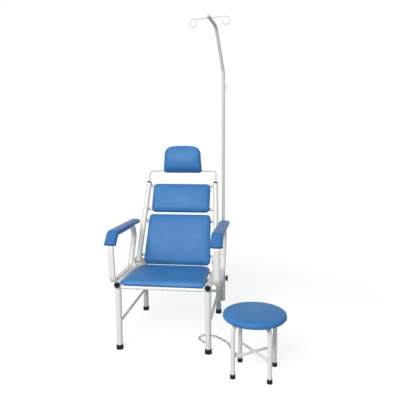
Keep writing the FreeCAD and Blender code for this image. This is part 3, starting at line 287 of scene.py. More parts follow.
@dataclass(frozen=True)
class SkinnedFoam(Finish):
    """Self-skinning polyurethane, moulded: a smooth glossy skin with a faint pebble."""

    shade: str = "#2B6099"
    pebble_mm: float = 3.0

    def build(self) -> bpy.types.Material:
        """Make the material."""
        surface = self.start({"Specular IOR Level": 0.2, "Coat Weight": 0.05, "Coat Roughness": 0.25})
        self.vary(surface, self.shade, patch_mm=90.0, low=0.45, high=0.8)
        self.gloss(surface, patch_mm=20.0, spread=0.06)
        pebble = add_node(surface.tree, "ShaderNodeTexNoise", {
            "Vector": surface.place, "Scale": per_metre(self.pebble_mm), "Detail": 2.0})
        self.raise_up(surface, pebble.outputs["Fac"], depth_mm=0.06, strength=0.25)
        return surface.material


@dataclass(frozen=True)
class StoveEnamel(Finish):
    """Stove enamel sprayed on steel: an even gloss with slight orange peel and handled patches."""

    handled: str = "#D9D4D0"
    peel_mm: float = 3.5

    def build(self) -> bpy.types.Material:
        """Make the material."""
        surface = self.start({"Coat Weight": 0.2, "Coat Roughness": 0.12})
        self.vary(surface, self.handled, patch_mm=130.0, low=0.48, high=0.85)
        self.gloss(surface, patch_mm=60.0, spread=0.07)
        peel = add_node(surface.tree, "ShaderNodeTexNoise", {
            "Vector": surface.place, "Scale": per_metre(self.peel_mm), "Detail": 1.0})
        self.raise_up(surface, peel.outputs["Fac"], depth_mm=0.05, strength=0.18)
        return surface.material


@dataclass(frozen=True)
class MouldedPlastic(Finish):
    """Polyethylene, injection moulded: one colour all through, a dull gloss and fine scuffs."""

    scuff: str = "#17171A"
    grain_mm: float = 1.5

    def build(self) -> bpy.types.Material:
        """Make the material."""
        # Fine scuffs break up the mirror image, so less of it is left than on polished plastic
        surface = self.start({"Specular IOR Level": 0.25})
        self.vary(surface, self.scuff, patch_mm=14.0, low=0.5, high=0.8)
        self.gloss(surface, patch_mm=9.0, spread=0.08)
        grain = add_node(surface.tree, "ShaderNodeTexNoise", {
            "Vector": surface.place, "Scale": per_metre(self.grain_mm), "Detail": 2.0})
        self.raise_up(surface, grain.outputs["Fac"], depth_mm=0.04, strength=0.2)
        return surface.material


@dataclass(frozen=True)
class FootRubber(Finish):
    """Carbon-black rubber, moulded: matt, and grey with dust next to the floor."""

    dust: str = "#3E3D3B"
    dust_mm: float = 9.0
    dust_full: float = 0.3
    dust_share: float = 0.3
    speckle_mm: float = 5.0

    def build(self) -> bpy.types.Material:
        """Make the material."""
        surface = self.start({"Specular IOR Level": 0.25})
        top = self.dust_mm * MM
        height = add_node(surface.tree, "ShaderNodeSeparateXYZ", {"Vector": surface.place})
        speckle = add_node(surface.tree, "ShaderNodeTexNoise", {
            "Vector": surface.place, "Scale": per_metre(self.speckle_mm), "Detail": 5.0})
        wavy = add_node(surface.tree, "ShaderNodeMath", {
            0: speckle.outputs["Fac"], 1: top, 2: height.outputs["Z"]}, operation="MULTIPLY_ADD")
        amount = add_node(surface.tree, "ShaderNodeMapRange", {
            "Value": wavy.outputs["Value"], "From Min": top, "From Max": self.dust_full * top,
            "To Max": self.dust_share})
        self.mix_in(surface, self.dust, amount.outputs["Result"])
        self.gloss(surface, patch_mm=7.0, spread=0.08)
        self.raise_up(surface, speckle.outputs["Fac"], depth_mm=0.08, strength=0.3)
        return surface.material


@dataclass(frozen=True)
class ZincPlate(Finish):
    """Bright zinc plate on drawn steel: a grey metal, clouded and a little dull."""

    cloud: str = "#6F7478"
    spangle_mm: float = 1.2

    def build(self) -> bpy.types.Material:
        """Make the material."""
        surface = self.start({"Metallic": 1.0})
        self.vary(surface, self.cloud, patch_mm=11.0, low=0.4, high=0.75)
        self.gloss(surface, patch_mm=6.0, spread=0.1)
        spangle = add_node(surface.tree, "ShaderNodeTexNoise", {
            "Vector": surface.place, "Scale": per_metre(self.spangle_mm), "Detail": 3.0})
        self.raise_up(surface, spangle.outputs["Fac"], depth_mm=0.03, strength=0.25)
        return surface.material


@dataclass(frozen=True)
class Plywood(Finish):
    """Rotary-cut poplar plywood, sanded: wandering pale grain, quite matt."""

    late: str = "#B28A58"
    grain_mm: float = 26.0
    drawn_out: float = 0.12

    def build(self) -> bpy.types.Material:
        """Make the material."""
        surface = self.start()
        drawn = add_node(surface.tree, "ShaderNodeMapping", {
            "Vector": surface.place, "Scale": (self.drawn_out, 1.0, 1.0)})
        rings = add_node(surface.tree, "ShaderNodeTexNoise", {
            "Vector": drawn.outputs["Vector"], "Scale": per_metre(self.grain_mm), "Detail": 6.0,
            "Distortion": 0.8})
        amount = add_node(surface.tree, "ShaderNodeMapRange", {
            "Value": rings.outputs["Fac"], "From Min": 0.42, "From Max": 0.62},
            interpolation_type="SMOOTHSTEP")
        self.mix_in(surface, self.late, amount.outputs["Result"])
        self.raise_up(surface, rings.outputs["Fac"], depth_mm=0.1, strength=0.2)
        return surface.material


@dataclass(frozen=True)
class Nylon(Finish):
    """Natural nylon, moulded: milky and waxy."""

    tint: str = "#D8D4C6"

    def build(self) -> bpy.types.Material:
        """Make the material."""
        surface = self.start({"Subsurface Weight": 0.1})
        self.vary(surface, self.tint, patch_mm=16.0, low=0.4, high=0.8)
        self.gloss(surface, patch_mm=8.0, spread=0.05)
        return surface.material


class Finishes:
    """Every finish of the chair, built once."""

    def __init__(self) -> None:
        """Build the materials."""
        self.vinyl = Leathercloth("blue_leathercloth", "#3775B2", 0.5, 1.52).build()
        self.foam = SkinnedFoam("blue_skinned_foam", "#376FAB", 0.42, 1.5).build()
        self.enamel = StoveEnamel("warm_white_stove_enamel", "#E6E2E0", 0.32, 1.5).build()
        self.pole = StoveEnamel("pale_grey_stove_enamel", "#C7C8C8", 0.34, 1.5, handled="#BCBDBD").build()
        self.plastic = MouldedPlastic("black_moulded_polyethylene", "#08080B", 0.22, 1.51).build()
        self.cap = MouldedPlastic(
            "pale_grey_moulded_polyethylene", "#C8C8C6", 0.45, 1.51, scuff="#B8B8B6").build()
        self.rubber = FootRubber("black_foot_rubber", "#0F0F11", 0.55, 1.52).build()
        self.zinc = ZincPlate("zinc_plated_steel", "#9A9EA1", 0.36).build()
        self.plywood = Plywood("sanded_poplar_plywood", "#D2B07C", 0.62, 1.5).build()
        self.nylon = Nylon("natural_nylon", "#E4E1D6", 0.42, 1.53).build()

    def for_slot(self, slot: str) -> bpy.types.Material:
        """The material of one of the record's slots."""
        return {
            "blue_vinyl": self.vinyl, "blue_moulding": self.foam, "white_enamel": self.enamel,
            "pole_steel": self.pole, "black_plastic": self.plastic, "foot_rubber": self.rubber,
            "bright_steel": self.zinc, "plywood": self.plywood, "bush_nylon": self.nylon,
            "grey_plastic": self.cap,
        }[slot]


def into_scene(name: str, data: bpy.types.ID) -> bpy.types.Object:
    """Put a mesh, a lamp or a camera into the scene.

    Args:
        name: Name of the object.
        data: The mesh, lamp or camera.

    Returns:
        The object.
    """
    thing = bpy.data.objects.new(name, data)
    bpy.context.scene.collection.objects.link(thing)
    return thing


def mesh_of(name: str, points: Sequence[Sequence[float]], faces: Sequence[Sequence[int]]) -> bpy.types.Mesh:
    """A mesh from points and faces, with its normals outward.

    Args:
        name: Name of the mesh.
        points: Corners, in metres.
        faces: Corner numbers of each face.

    Returns:
        The mesh.
    """
    mesh = bpy.data.meshes.new(name)
    mesh.from_pydata([tuple(p) for p in points], [], [tuple(f) for f in faces])
    work = bmesh.new()
    work.from_mesh(mesh)
    bmesh.ops.recalc_face_normals(work, faces=work.faces)
    work.to_mesh(mesh)
    work.free()
    return mesh


def points_of(mesh: bpy.types.Mesh) -> np.ndarray:
    """Points of a mesh as rows.

    Args:
        mesh: The mesh.

    Returns:
        Its points.
    """
    flat = np.empty(len(mesh.vertices) * 3)
    mesh.vertices.foreach_get("co", flat)
    return flat.reshape(-1, 3)


def dress(piece: bpy.types.Object, material: bpy.types.Material, body: str | None,
          smooth: bool = True) -> None:
    """Give a piece its finish and the body that it rides on.

    Args:
        piece: The piece.
        material: Its finish.
        body: The CAD body that it rides on, or none for a piece between two bodies.
        smooth: Whether its faces are shaded smooth.
    """
    mesh = piece.data
    mesh.materials.clear()
    mesh.materials.append(material)
    mesh.polygons.foreach_set("use_smooth", [smooth] * len(mesh.polygons))
    if body:
        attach(piece, body)
    LOG.info("%s: %d faces", piece.name, len(mesh.polygons))


def new_piece(name: str, points: Sequence[Sequence[float]], faces: Sequence[Sequence[int]],
              material: bpy.types.Material, body: str | None, smooth: bool = True) -> bpy.types.Object:
    """Make a piece of a body from points and faces.

    Args:
        name: Name of the piece.
        points: Its corners, in chair coordinates.
        faces: Corner numbers of each face.
        material: Its finish.
        body: The CAD body that it rides on, or none for a piece between two bodies.
        smooth: Whether its faces are shaded smooth.

    Returns:
        The piece.
    """
    piece = into_scene(name, mesh_of(name, points, faces))
    dress(piece, material, body, smooth)
    return piece


def bands(rings: int, count: int, ends: Ends) -> list[tuple[int, ...]]:
    """Faces between rings of points that follow one another.

    Args:
        rings: Number of rings.
        count: Points in each.
        ends: How the first and the last ring end.

    Returns:
        Corner numbers of each face.
    """
    steps = rings if ends is Ends.JOINED else rings - 1
    faces = [(r * count + i, r * count + (i + 1) % count, (r + 1) % rings * count + (i + 1) % count,
              (r + 1) % rings * count + i) for r in range(steps) for i in range(count)]
    if ends is Ends.CAPPED:
        last = (rings - 1) * count
        faces += [tuple(range(count))[::-1], tuple(range(last, last + count))]
    return faces


def ring_tube(spine: np.ndarray, radii: np.ndarray, sides: int) -> tuple[list[Vector], list[tuple[int, ...]]]:
    """A closed tube round a closed line.

    Args:
        spine: Points of the line, in order.
        radii: Radius of the tube at each.
        sides: Corners of its section.

    Returns:
        Points and faces.
    """
    count = len(spine)
    points: list[Vector] = []
    for i in range(count):
        along = Vector(spine[(i + 1) % count] - spine[i - 1]).normalized()
        out = Vector(spine[i] - spine.mean(axis=0))
        out = (out - along * out.dot(along)).normalized()
        side = along.cross(out)
        for k in range(sides):
            turn = 2 * math.pi * k / sides
            points.append(Vector(spine[i]) + (out * math.cos(turn) + side * math.sin(turn)) * radii[i])
    return points, bands(count, sides, Ends.JOINED)


def apply(piece: bpy.types.Object) -> None:
    """Turn what the modifiers make into the piece's own mesh.

    Args:
        piece: The piece.
    """
    shown = piece.evaluated_get(bpy.context.evaluated_depsgraph_get())
    mesh = bpy.data.meshes.new_from_object(shown)
    piece.modifiers.clear()
    piece.data = mesh


def ease(piece: bpy.types.Object, rounds: int) -> None:
    """Add a modifier that smooths away steps.

    Args:
        piece: The piece.
        rounds: Rounds of smoothing.
    """
    smoother = piece.modifiers.new("ease", "SMOOTH")
    smoother.factor = 0.5
    smoother.iterations = rounds


def even_out(piece: bpy.types.Object, voxel_mm: float, rounds: int = 8) -> None:
    """Mesh a piece evenly and smooth away the steps.

    Args:
        piece: The piece.
        voxel_mm: Size of the mesh's squares.
        rounds: Rounds of smoothing.
    """
    even = piece.modifiers.new("even", "REMESH")
    even.mode = "VOXEL"
    even.voxel_size = voxel_mm * MM
    ease(piece, rounds)
    apply(piece)


def refine(piece: bpy.types.Object) -> None:
    """Subdivide a piece once, after its other modifiers.

    Args:
        piece: The piece.
    """
    finer = piece.modifiers.new("refine", "SUBSURF")
    finer.levels = 1
    finer.render_levels = 1
    apply(piece)


def finish_soft(piece: bpy.types.Object, node: str, body: str, material: bpy.types.Material) -> bpy.types.Object:
    """Give a soft piece its finish and let it take the place of its CAD solid.

    Args:
        piece: The piece.
        node: The CAD solid that it replaces.
        body: The CAD body that it rides on.
        material: Its finish.

    Returns:
        The piece.
    """
    dress(piece, material, body)
    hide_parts(node)
    return piece


def box_of(loop: np.ndarray) -> tuple[np.ndarray, np.ndarray]:
    """Middle and half size of the box round an outline.

    Args:
        loop: The outline.

    Returns:
        Middle and half size.
    """
    low, high = loop.min(axis=0), loop.max(axis=0)
    return (low + high) / 2, (high - low) / 2


def half_hull(points: Sequence[tuple[float, float]]) -> list[tuple[float, float]]:
    """One side of the tightest convex line round flat points.

    Args:
        points: The points in order from one end to the other.

    Returns:
        The points on that side, without the last.
    """
    chain: list[tuple[float, float]] = []
    for p in points:
        while len(chain) > 1 and ((chain[-1][0] - chain[-2][0]) * (p[1] - chain[-2][1])
                                  - (chain[-1][1] - chain[-2][1]) * (p[0] - chain[-2][0])) <= 0:
            chain.pop()
        chain.append(p)
    return chain[:-1]


@dataclass(frozen=True)
class Outline:
    """Outline of a flat CAD solid in its own plane, and the levels of its back and front.

    The rows of axes are the directions across, up and out of the face.
    """

    loop: np.ndarray
    axes: np.ndarray
    back: float
    front: float

    @classmethod
    def of(cls, node: str, facing: Axis, count: int = 180, digits: int = 5) -> Outline:
        """Draw a solid's outline with evenly spaced points.

        Args:
            node: Name of the solid.
            facing: The way that its face looks.
            count: Number of points.
            digits: Digits that tell two points in metres apart.

        Returns:
            The outline.
        """
        front = np.array(facing.value)
        across = np.array([1.0, 0.0, 0.0])
        axes = np.stack([across, np.cross(front, across), front])
        local = np.array([v.co for v in bpy.data.objects[node].data.vertices]) @ axes.T
        flat = sorted({(round(float(p[0]), digits), round(float(p[1]), digits)) for p in local})
        rough = np.array(half_hull(flat) + half_hull(flat[::-1]))
        closed = np.vstack([rough, rough[:1]])
        run = np.concatenate([[0.0], np.cumsum(np.linalg.norm(np.diff(closed, axis=0), axis=1))])
        even = np.linspace(0.0, run[-1], count + 1)[:-1]
        loop = np.stack([np.interp(even, run, closed[:, k]) for k in (0, 1)], axis=1)
        return cls(loop, axes, float(local[:, 2].min()), float(local[:, 2].max()))

    def ways(self) -> tuple[np.ndarray, np.ndarray]:
        """Directions at each point of the outline.

        Returns:
            Directions along the outline, and outward from it.
        """
        along = np.roll(self.loop, -1, axis=0) - np.roll(self.loop, 1, axis=0)
        along /= np.linalg.norm(along, axis=1, keepdims=True)
        return along, np.stack([along[:, 1], -along[:, 0]], axis=1)

    def points(self, spots: np.ndarray, level: float) -> np.ndarray:
        """Bring points of the plane into chair coordinates.

        Args:
            spots: Points across and up.
            level: Their level out of the face.

        Returns:
            The points in chair coordinates.
        """
        return np.column_stack([spots, np.full(len(spots), level)]) @ self.axes


@dataclass
class Cushion:
    """Foam on a board, in leathercloth drawn tight round the board's edge.

    The foam spreads past its CAD outline across and up, rolls in over its edge and rises to a crown. A
    bolster thins out to its lower and upper ends, and its apex is a share of the half height.
    """

    name: str
    body: str
    facing: Axis
    voxel_mm: float = 6.0
    spread_mm: tuple[float, float] = (6.0, 2.0)
    edge_mm: float = 26.0
    lift_mm: float = 0.0
    trim_mm: float = 0.0
    crown_mm: float = 5.0
    bolster: float = 0.0
    apex: float = 0.0
    corner_mm: float = 0.0
    corner_power: float = 3.2
    skirt_mm: float = 2.2
    underside: float = 0.45
    hem: float = 0.7
    bulge: float = 0.3
    edge_rings: int = 9
    top_rings: int = 19
    top_shares: tuple[float, float] = (0.95, 0.05)
    drawn_in_mm: float = 2.0
    held_voxels: float = 0.6
    pressure: float = 4.0
    cover_mass: float = 0.35
    stiffness: float = 22.0
    bending: float = 2.0
    substeps: int = 4
    frames: int = 20
    cap_mm: float = 3.5
    spread_rounds: int = 60
    ease_rounds: int = 6
    fill: float = 0.75

    def squared(self, loop: np.ndarray) -> np.ndarray:
        """Fill the upper corners of an outline towards a square.

        Args:
            loop: The outline.

        Returns:
            The outline with fuller corners.
        """
        radius = self.corner_mm * MM
        if radius == 0:
            return loop
        middle, half = box_of(loop)
        centre = np.stack([middle[0] + np.sign(loop[:, 0] - middle[0]) * (half[0] - radius),
                           np.full(len(loop), middle[1] + half[1] - radius)], axis=1)
        arm = loop - centre
        inside = (np.abs(loop[:, 0] - middle[0]) > half[0] - radius) & (arm[:, 1] > 0)
        way = np.abs(arm) / np.maximum(np.linalg.norm(arm, axis=1, keepdims=True), TINY)
        fuller = (way ** self.corner_power).sum(axis=1) ** (-1 / self.corner_power)
        return np.where(inside[:, None], centre + arm * fuller[:, None], loop)

    def section(self, low: float, thick: float, back: float) -> list[tuple[np.ndarray, float, float]]:
        """Rings of the cushion from its underside up and in over its edge.

        Args:
            low: Level at which the foam meets the board.
            thick: Thickness of the foam.
            back: Level of the board's back.

        Returns:
            For each ring its spread across and up, its level and its share of the lift.
        """
        spread = np.array(self.spread_mm) * MM
        skirt = np.full(2, self.skirt_mm * MM)
        # The foam's underside lies inside the board, so that the board's own back shows
        rings = [(skirt, back + self.underside * (low - back), 0.0),
                 (skirt, back + self.hem * (low - back), 0.0),
                 ((spread + skirt) / 2, low, 0.5),
                 (spread, low + self.bulge * thick, 1.0)]
        for turn in np.linspace(0.0, math.pi / 2, self.edge_rings + 1)[1:]:
            rings.append((spread - (spread + self.edge_mm * MM) * (1 - math.cos(turn)),
                          low + thick * (self.bulge + (1 - self.bulge) * math.sin(turn)), 1.0))
        return rings

    def blank(self) -> bpy.types.Object:
        """Shape the padded board from its CAD outline and mesh it evenly.

        Returns:
            The evenly meshed object.
        """
        outline = Outline.of(self.name + "_cushion", self.facing)
        low = outline.back
        thick = outline.front - self.trim_mm * MM - low
        loop = self.squared(outline.loop)
        middle, half = box_of(loop)
        lift = np.array([0.0, self.lift_mm * MM])
        section = self.section(low, thick, Outline.of(self.name + "_board", self.facing).back)
        rings = [np.column_stack([middle + share * lift + (loop - middle) * (1 + shift / half),
                                  np.full(len(loop), level)]) for shift, level, share in section]
        inner = rings[-1]
        centre = np.array([*(middle + lift), low + thick])
        rings += [centre + (inner - centre) * share
                  for share in np.linspace(*self.top_shares, self.top_rings)]
        local = np.vstack(rings)
        # The crown is highest at the apex, and a bolster falls away from there to its ends
        place = np.clip((local[:, :2] - middle) / (half + np.array(self.spread_mm) * MM), -1.0, 1.0)
        rest = place[:, 1] - self.apex
        place[:, 1] = rest / np.where(rest > 0, 1 - self.apex, 1 + self.apex)
        bow = 1 - place ** 2
        rise = np.clip((local[:, 2] - low) / thick, 0.0, 1.0)
        local[:, 2] += rise * (self.crown_mm * MM * bow[:, 1] * np.sqrt(bow[:, 0])
                               - self.bolster * thick * (1 - bow[:, 1]))
        name = self.name + "_cushion_soft"
        faces = bands(len(rings), len(loop), Ends.CAPPED)
        piece = into_scene(name, mesh_of(name, local @ outline.axes, faces))
        even_out(piece, self.voxel_mm)
        return piece

    def inflate(self, piece: bpy.types.Object, held: np.ndarray) -> None:
        """Run the cover as cloth under pressure and keep the shape that it takes.

        Args:
            piece: The cushion.
            held: Which of its points stay where they are.
        """
        group = piece.vertex_groups.new(name="held")
        group.add([int(i) for i in np.flatnonzero(held)], 1.0, "REPLACE")
        cloth = piece.modifiers.new("cover", "CLOTH")
        cloth.settings.quality = self.substeps
        cloth.settings.mass = self.cover_mass
        cloth.settings.tension_stiffness = self.stiffness
        cloth.settings.compression_stiffness = self.stiffness
        cloth.settings.bending_stiffness = self.bending
        cloth.settings.vertex_group_mass = group.name
        cloth.settings.use_pressure = True
        cloth.settings.uniform_pressure_force = self.pressure
        cloth.settings.effector_weights.gravity = 0.0
        cloth.collision_settings.use_collision = False
        scene = bpy.context.scene
        for frame in range(1, self.frames + 1):
            scene.frame_set(frame)
        apply(piece)
        scene.frame_set(1)

    def evened(self, mesh: bpy.types.Mesh, step: np.ndarray, held: np.ndarray) -> np.ndarray:
        """Average a movement over neighbouring points, except where the cover is held.

        Args:
            mesh: The cushion's mesh.
            step: Movement of each point.
            held: Which points are held.

        Returns:
            The evened movement.
        """
        ends = np.empty(len(mesh.edges) * 2, dtype=int)
        mesh.edges.foreach_get("vertices", ends)
        ends = ends.reshape(-1, 2)
        near = np.bincount(ends.ravel(), minlength=len(step))[:, None]
        for _ in range(self.spread_rounds):
            total = np.zeros_like(step)
            np.add.at(total, ends[:, 0], step[ends[:, 1]])
            np.add.at(total, ends[:, 1], step[ends[:, 0]])
            step = np.where(held[:, None], step, total / near)
        return step

    def swell(self, piece: bpy.types.Object) -> None:
        """Blow the cover up like foam under a tight skin, held at the board.

        Args:
            piece: The evenly meshed cushion.
        """
        start = points_of(piece.data)
        normals = np.array([v.normal for v in piece.data.vertices])
        low = Outline.of(self.name + "_cushion", self.facing).back
        held = start @ np.array(self.facing.value) < low + self.held_voxels * self.voxel_mm * MM
        drawn = start - normals * (self.drawn_in_mm * MM) * (~held)[:, None]
        piece.data.vertices.foreach_set("co", drawn.ravel())
        self.inflate(piece, held)
        step = points_of(piece.data) - drawn
        length = np.linalg.norm(step, axis=1, keepdims=True)
        cap = self.cap_mm * MM
        step *= cap * np.tanh(length / cap) / np.maximum(length, TINY)
        piece.data.vertices.foreach_set("co", (drawn + self.evened(piece.data, step, held)).ravel())
        piece.data.update()

    def build(self, finishes: Finishes) -> bpy.types.Object:
        """Make the cushion in place of its CAD solid.

        Args:
            finishes: The chair's finishes.

        Returns:
            The cushion.
        """
        piece = self.blank()
        self.swell(piece)
        ease(piece, self.ease_rounds)
        refine(piece)
        return finish_soft(piece, self.name + "_cushion", self.body, finishes.vinyl)


@dataclass
class CoverBack:
    """The leathercloth turned over a board's edge and stapled behind it."""

    node: str
    body: str
    facing: Axis
    turn_in_mm: float = 24.0
    cloth_mm: float = 0.9
    edge_mm: float = 1.0
    bend_mm: float = 2.0
    cut_mm: float = 0.6
    wander_mm: float = 1.6
    wander_turns: tuple[float, float] = (1.7, 0.31)
    staple_pitch_mm: float = 34.0
    staple_mm: float = 10.0
    staple_wire_mm: float = 0.9
    staple_sunk_mm: float = 0.4
    staple_row: float = 0.62
    staple_lean: float = 0.25
    lean_turn: float = 2.3

    def build(self, finishes: Finishes) -> list[bpy.types.Object]:
        """Make the turned-in cover and its staples.

        Args:
            finishes: The chair's finishes.

        Returns:
            Cover and staples.
        """
        outline = Outline.of(self.node, self.facing)
        _, out = outline.ways()
        back, front = outline.back, outline.front
        cloth = self.cloth_mm * MM
        turn_in = self.turn_in_mm * MM
        # Reach past the board's outline and level, from the front edge round to the cut edge behind
        section = [(0.2 * cloth, front), (cloth, front - self.edge_mm * MM), (cloth, back),
                   (0.4 * cloth, back - 0.8 * cloth), (-self.bend_mm * MM, back - cloth),
                   (-turn_in, back - cloth), (-turn_in - self.cut_mm * MM, back)]
        count = len(outline.loop)
        short, long = (np.sin(np.arange(count) * turn)[:, None] for turn in self.wander_turns)
        points: list[np.ndarray] = []
        for row, (reach, level) in enumerate(section):
            at_cut = row >= len(section) - 2
            wander = self.wander_mm * MM * (short * long) * at_cut
            points += list(outline.points(outline.loop + out * (reach + wander), level))
        cover = new_piece(self.node + "_cover", points, bands(len(section), count, Ends.OPEN), finishes.vinyl,
                          self.body)
        return [cover, self.staples(outline, finishes)]

    def staples(self, outline: Outline, finishes: Finishes) -> bpy.types.Object:
        """Staples in a row along the turned-in edge.

        Args:
            outline: The board's outline.
            finishes: The chair's finishes.

        Returns:
            One piece with all staples.
        """
        loop = outline.loop
        along, out = outline.ways()
        level = outline.back - self.cloth_mm * MM
        spacing = float(np.linalg.norm(np.diff(loop, axis=0), axis=1).mean())
        every = max(1, round(self.staple_pitch_mm * MM / spacing))
        wire = self.staple_wire_mm * MM
        half = self.staple_mm * MM / 2
        sunk = self.staple_sunk_mm * MM
        rows = [(-half, sunk), (-half + wire, -wire), (half - wire, -wire), (half, sunk)]
        points: list[np.ndarray] = []
        faces: list[tuple[int, ...]] = []
        for i in range(0, len(loop), every):
            middle = loop[i] - out[i] * self.staple_row * self.turn_in_mm * MM
            lean = along[i] + out[i] * self.staple_lean * math.sin(i * self.lean_turn)
            lean /= np.linalg.norm(lean)
            side = np.array([lean[1], -lean[0]])
            first = len(points)
            for reach, lift in rows:
                spots = np.array([middle + lean * reach + side * shift for shift in (-wire / 2, wire / 2)])
                points += list(outline.points(spots, level + lift))
            faces += [(k, k + 1, k + 3, k + 2) for k in range(first, first + 6, 2)]
            faces.append((first, first + 1, first + 7, first + 6))
        piece = new_piece(self.node + "_staples", points, faces, finishes.zinc, self.body, smooth=False)
        return piece


@dataclass
class ArmPad:
    """A moulded arm pad, full along its top, with a rim at the end of its nose."""

    side: str
    voxel_mm: float = 3.0
    rim_mm: float = 2.0
    rim_at_mm: float = 7.0
    rim_wide_mm: float = 3.6
    rim_reach_mm: float = 30.0
    inner_face: float = 0.5
    nose_end_mm: tuple[float, float] = (-190.3, 647.4)
    nose_way: tuple[float, float] = (0.7163, 0.6977)
    fuller: float = 1.1
    fill: float = 0.95

    def build(self, finishes: Finishes) -> bpy.types.Object:
        """Make the pad in place of its CAD solid.

        Args:
            finishes: The chair's finishes.

        Returns:
            The pad.
        """
        node = "arm_pad_" + self.side
        piece = into_scene(node + "_soft", bpy.data.objects[node].data.copy())
        even_out(piece, self.voxel_mm)
        self.widen(piece.data)
        self.rim(piece.data)
        refine(piece)
        return finish_soft(piece, node, "frame", finishes.foam)

    def widen(self, mesh: bpy.types.Mesh) -> None:
        """Fill the pad out to its full width.

        Args:
            mesh: The pad's mesh.
        """
        across = [vertex.co.x for vertex in mesh.vertices]
        middle = (min(across) + max(across)) / 2
        for vertex in mesh.vertices:
            vertex.co.x = middle + (vertex.co.x - middle) * self.fuller

    def rim(self, mesh: bpy.types.Mesh) -> None:
        """Raise a bead round the sloping nose, a little above its end.

        Args:
            mesh: The pad's mesh.
        """
        end = Vector((0.0, *self.nose_end_mm)) * MM
        way = Vector((0.0, *self.nose_way))
        inward = Vector((0.0, self.nose_way[1], -self.nose_way[0]))
        for vertex in mesh.vertices:
            offset = vertex.co - Vector((vertex.co.x, end.y, end.z))
            above = offset.dot(way) - self.rim_at_mm * MM
            if above > self.rim_reach_mm * MM or vertex.normal.dot(inward) > self.inner_face:
                continue
            flat = vertex.normal - way * vertex.normal.dot(way)
            vertex.co += flat * self.rim_mm * MM * math.exp(-(above / (self.rim_wide_mm * MM)) ** 2)


@dataclass
class Chain:
    """Electrically welded steel chain, its links hung through one another."""

    node: str = "security_chain"
    wire_mm: float = 4.0
    inside_mm: float = 24.0
    width_mm: float = 7.0
    sides: int = 10
    bow_steps: int = 12
    seam_fuller: float = 1.12
    same_spot_mm: float = 0.001
    near_share: float = 0.06

    def islands(self) -> list[np.ndarray]:
        """Points of each CAD link.

        Returns:
            One array of points per link.
        """
        work = bmesh.new()
        work.from_mesh(bpy.data.objects[self.node].data)
        bmesh.ops.remove_doubles(work, verts=work.verts, dist=self.same_spot_mm * MM)
        seen: set[bmesh.types.BMVert] = set()
        groups = []
        for first in work.verts:
            if first in seen:
                continue
            seen.add(first)
            group = [first]
            # The group grows while it is walked through
            for vertex in group:
                for edge in vertex.link_edges:
                    other = edge.other_vert(vertex)
                    if other not in seen:
                        seen.add(other)
                        group.append(other)
            groups.append(np.array([v.co for v in group]))
        work.free()
        return groups

    def link(self, points: np.ndarray) -> tuple[list[Vector], list[tuple[int, ...]]]:
        """A smooth link where a CAD link lies.

        Args:
            points: The CAD link's points.

        Returns:
            Points and faces of the smooth one.
        """
        middle = points.mean(axis=0)
        _, _, axes = np.linalg.svd(points - middle, full_matrices=False)
        bow = (self.width_mm + self.wire_mm) / 2 * MM
        straight = (self.inside_mm + self.wire_mm) / 2 * MM - bow
        spine = []
        for end in (1, -1):
            for step in range(self.bow_steps + 1):
                turn = math.pi * (step / self.bow_steps - 0.5)
                u = end * (straight + bow * math.cos(turn))
                v = end * bow * math.sin(turn)
                spine.append(middle + u * axes[0] + v * axes[1])
        radii = np.full(len(spine), self.wire_mm / 2 * MM)
        # The weld makes one of the straight sides thicker, from bow to bow
        radii[self.bow_steps:self.bow_steps + 2] *= self.seam_fuller
        return ring_tube(np.array(spine), radii, self.sides)

    def build(self, finishes: Finishes) -> bpy.types.Object:
        """Make the chain in place of its CAD links.

        Args:
            finishes: The chair's finishes.

        Returns:
            The chain.
        """
        points: list[Vector] = []
        faces: list[tuple[int, ...]] = []
        for island in self.islands():
            link_points, link_faces = self.link(island)
            faces += [tuple(i + len(points) for i in f) for f in link_faces]
            points += link_points
        piece = new_piece("chain_links", points, faces, finishes.zinc, None)
        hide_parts(self.node)
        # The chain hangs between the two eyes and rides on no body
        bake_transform(piece)
        return piece


@dataclass
class Weld:
    """A bead where one tube is welded to the side of another."""

    name: str
    body: str
    spot: Vector
    along: Vector
    wall: Vector
    tube_mm: float
    wall_tube_mm: float
    bead_mm: float = 2.2
    steps: int = 72
    sides: int = 8
    ripple: float = 0.16
    ripple_steps: int = 4
    wander: float = 0.06
    wander_turn: float = 0.9

    def build(self, finishes: Finishes) -> bpy.types.Object:
        """Make the rippled bead.

        Args:
            finishes: The chair's finishes.

        Returns:
            The bead.
        """
        along = self.along.normalized()
        wall = (self.wall - along * self.wall.dot(along)).normalized()
        side = along.cross(wall)
        small = self.tube_mm / 2 * MM
        large = self.wall_tube_mm / 2 * MM
        spine = []
        radii = []
        for i in range(self.steps):
            turn = 2 * math.pi * i / self.steps
            reach = math.sqrt(max(large ** 2 - (small * math.cos(turn)) ** 2, 0.0))
            spine.append(self.spot + side * (small * math.cos(turn)) + wall * (small * math.sin(turn))
                         + along * reach)
            radii.append(1.0 + self.ripple * math.sin(i * 2 * math.pi / self.ripple_steps)
                         + self.wander * math.sin(i * self.wander_turn))
        points, faces = ring_tube(np.array(spine), np.array(radii) * self.bead_mm * MM, self.sides)
        piece = new_piece(self.name, points, faces, finishes.enamel, self.body)
        return piece


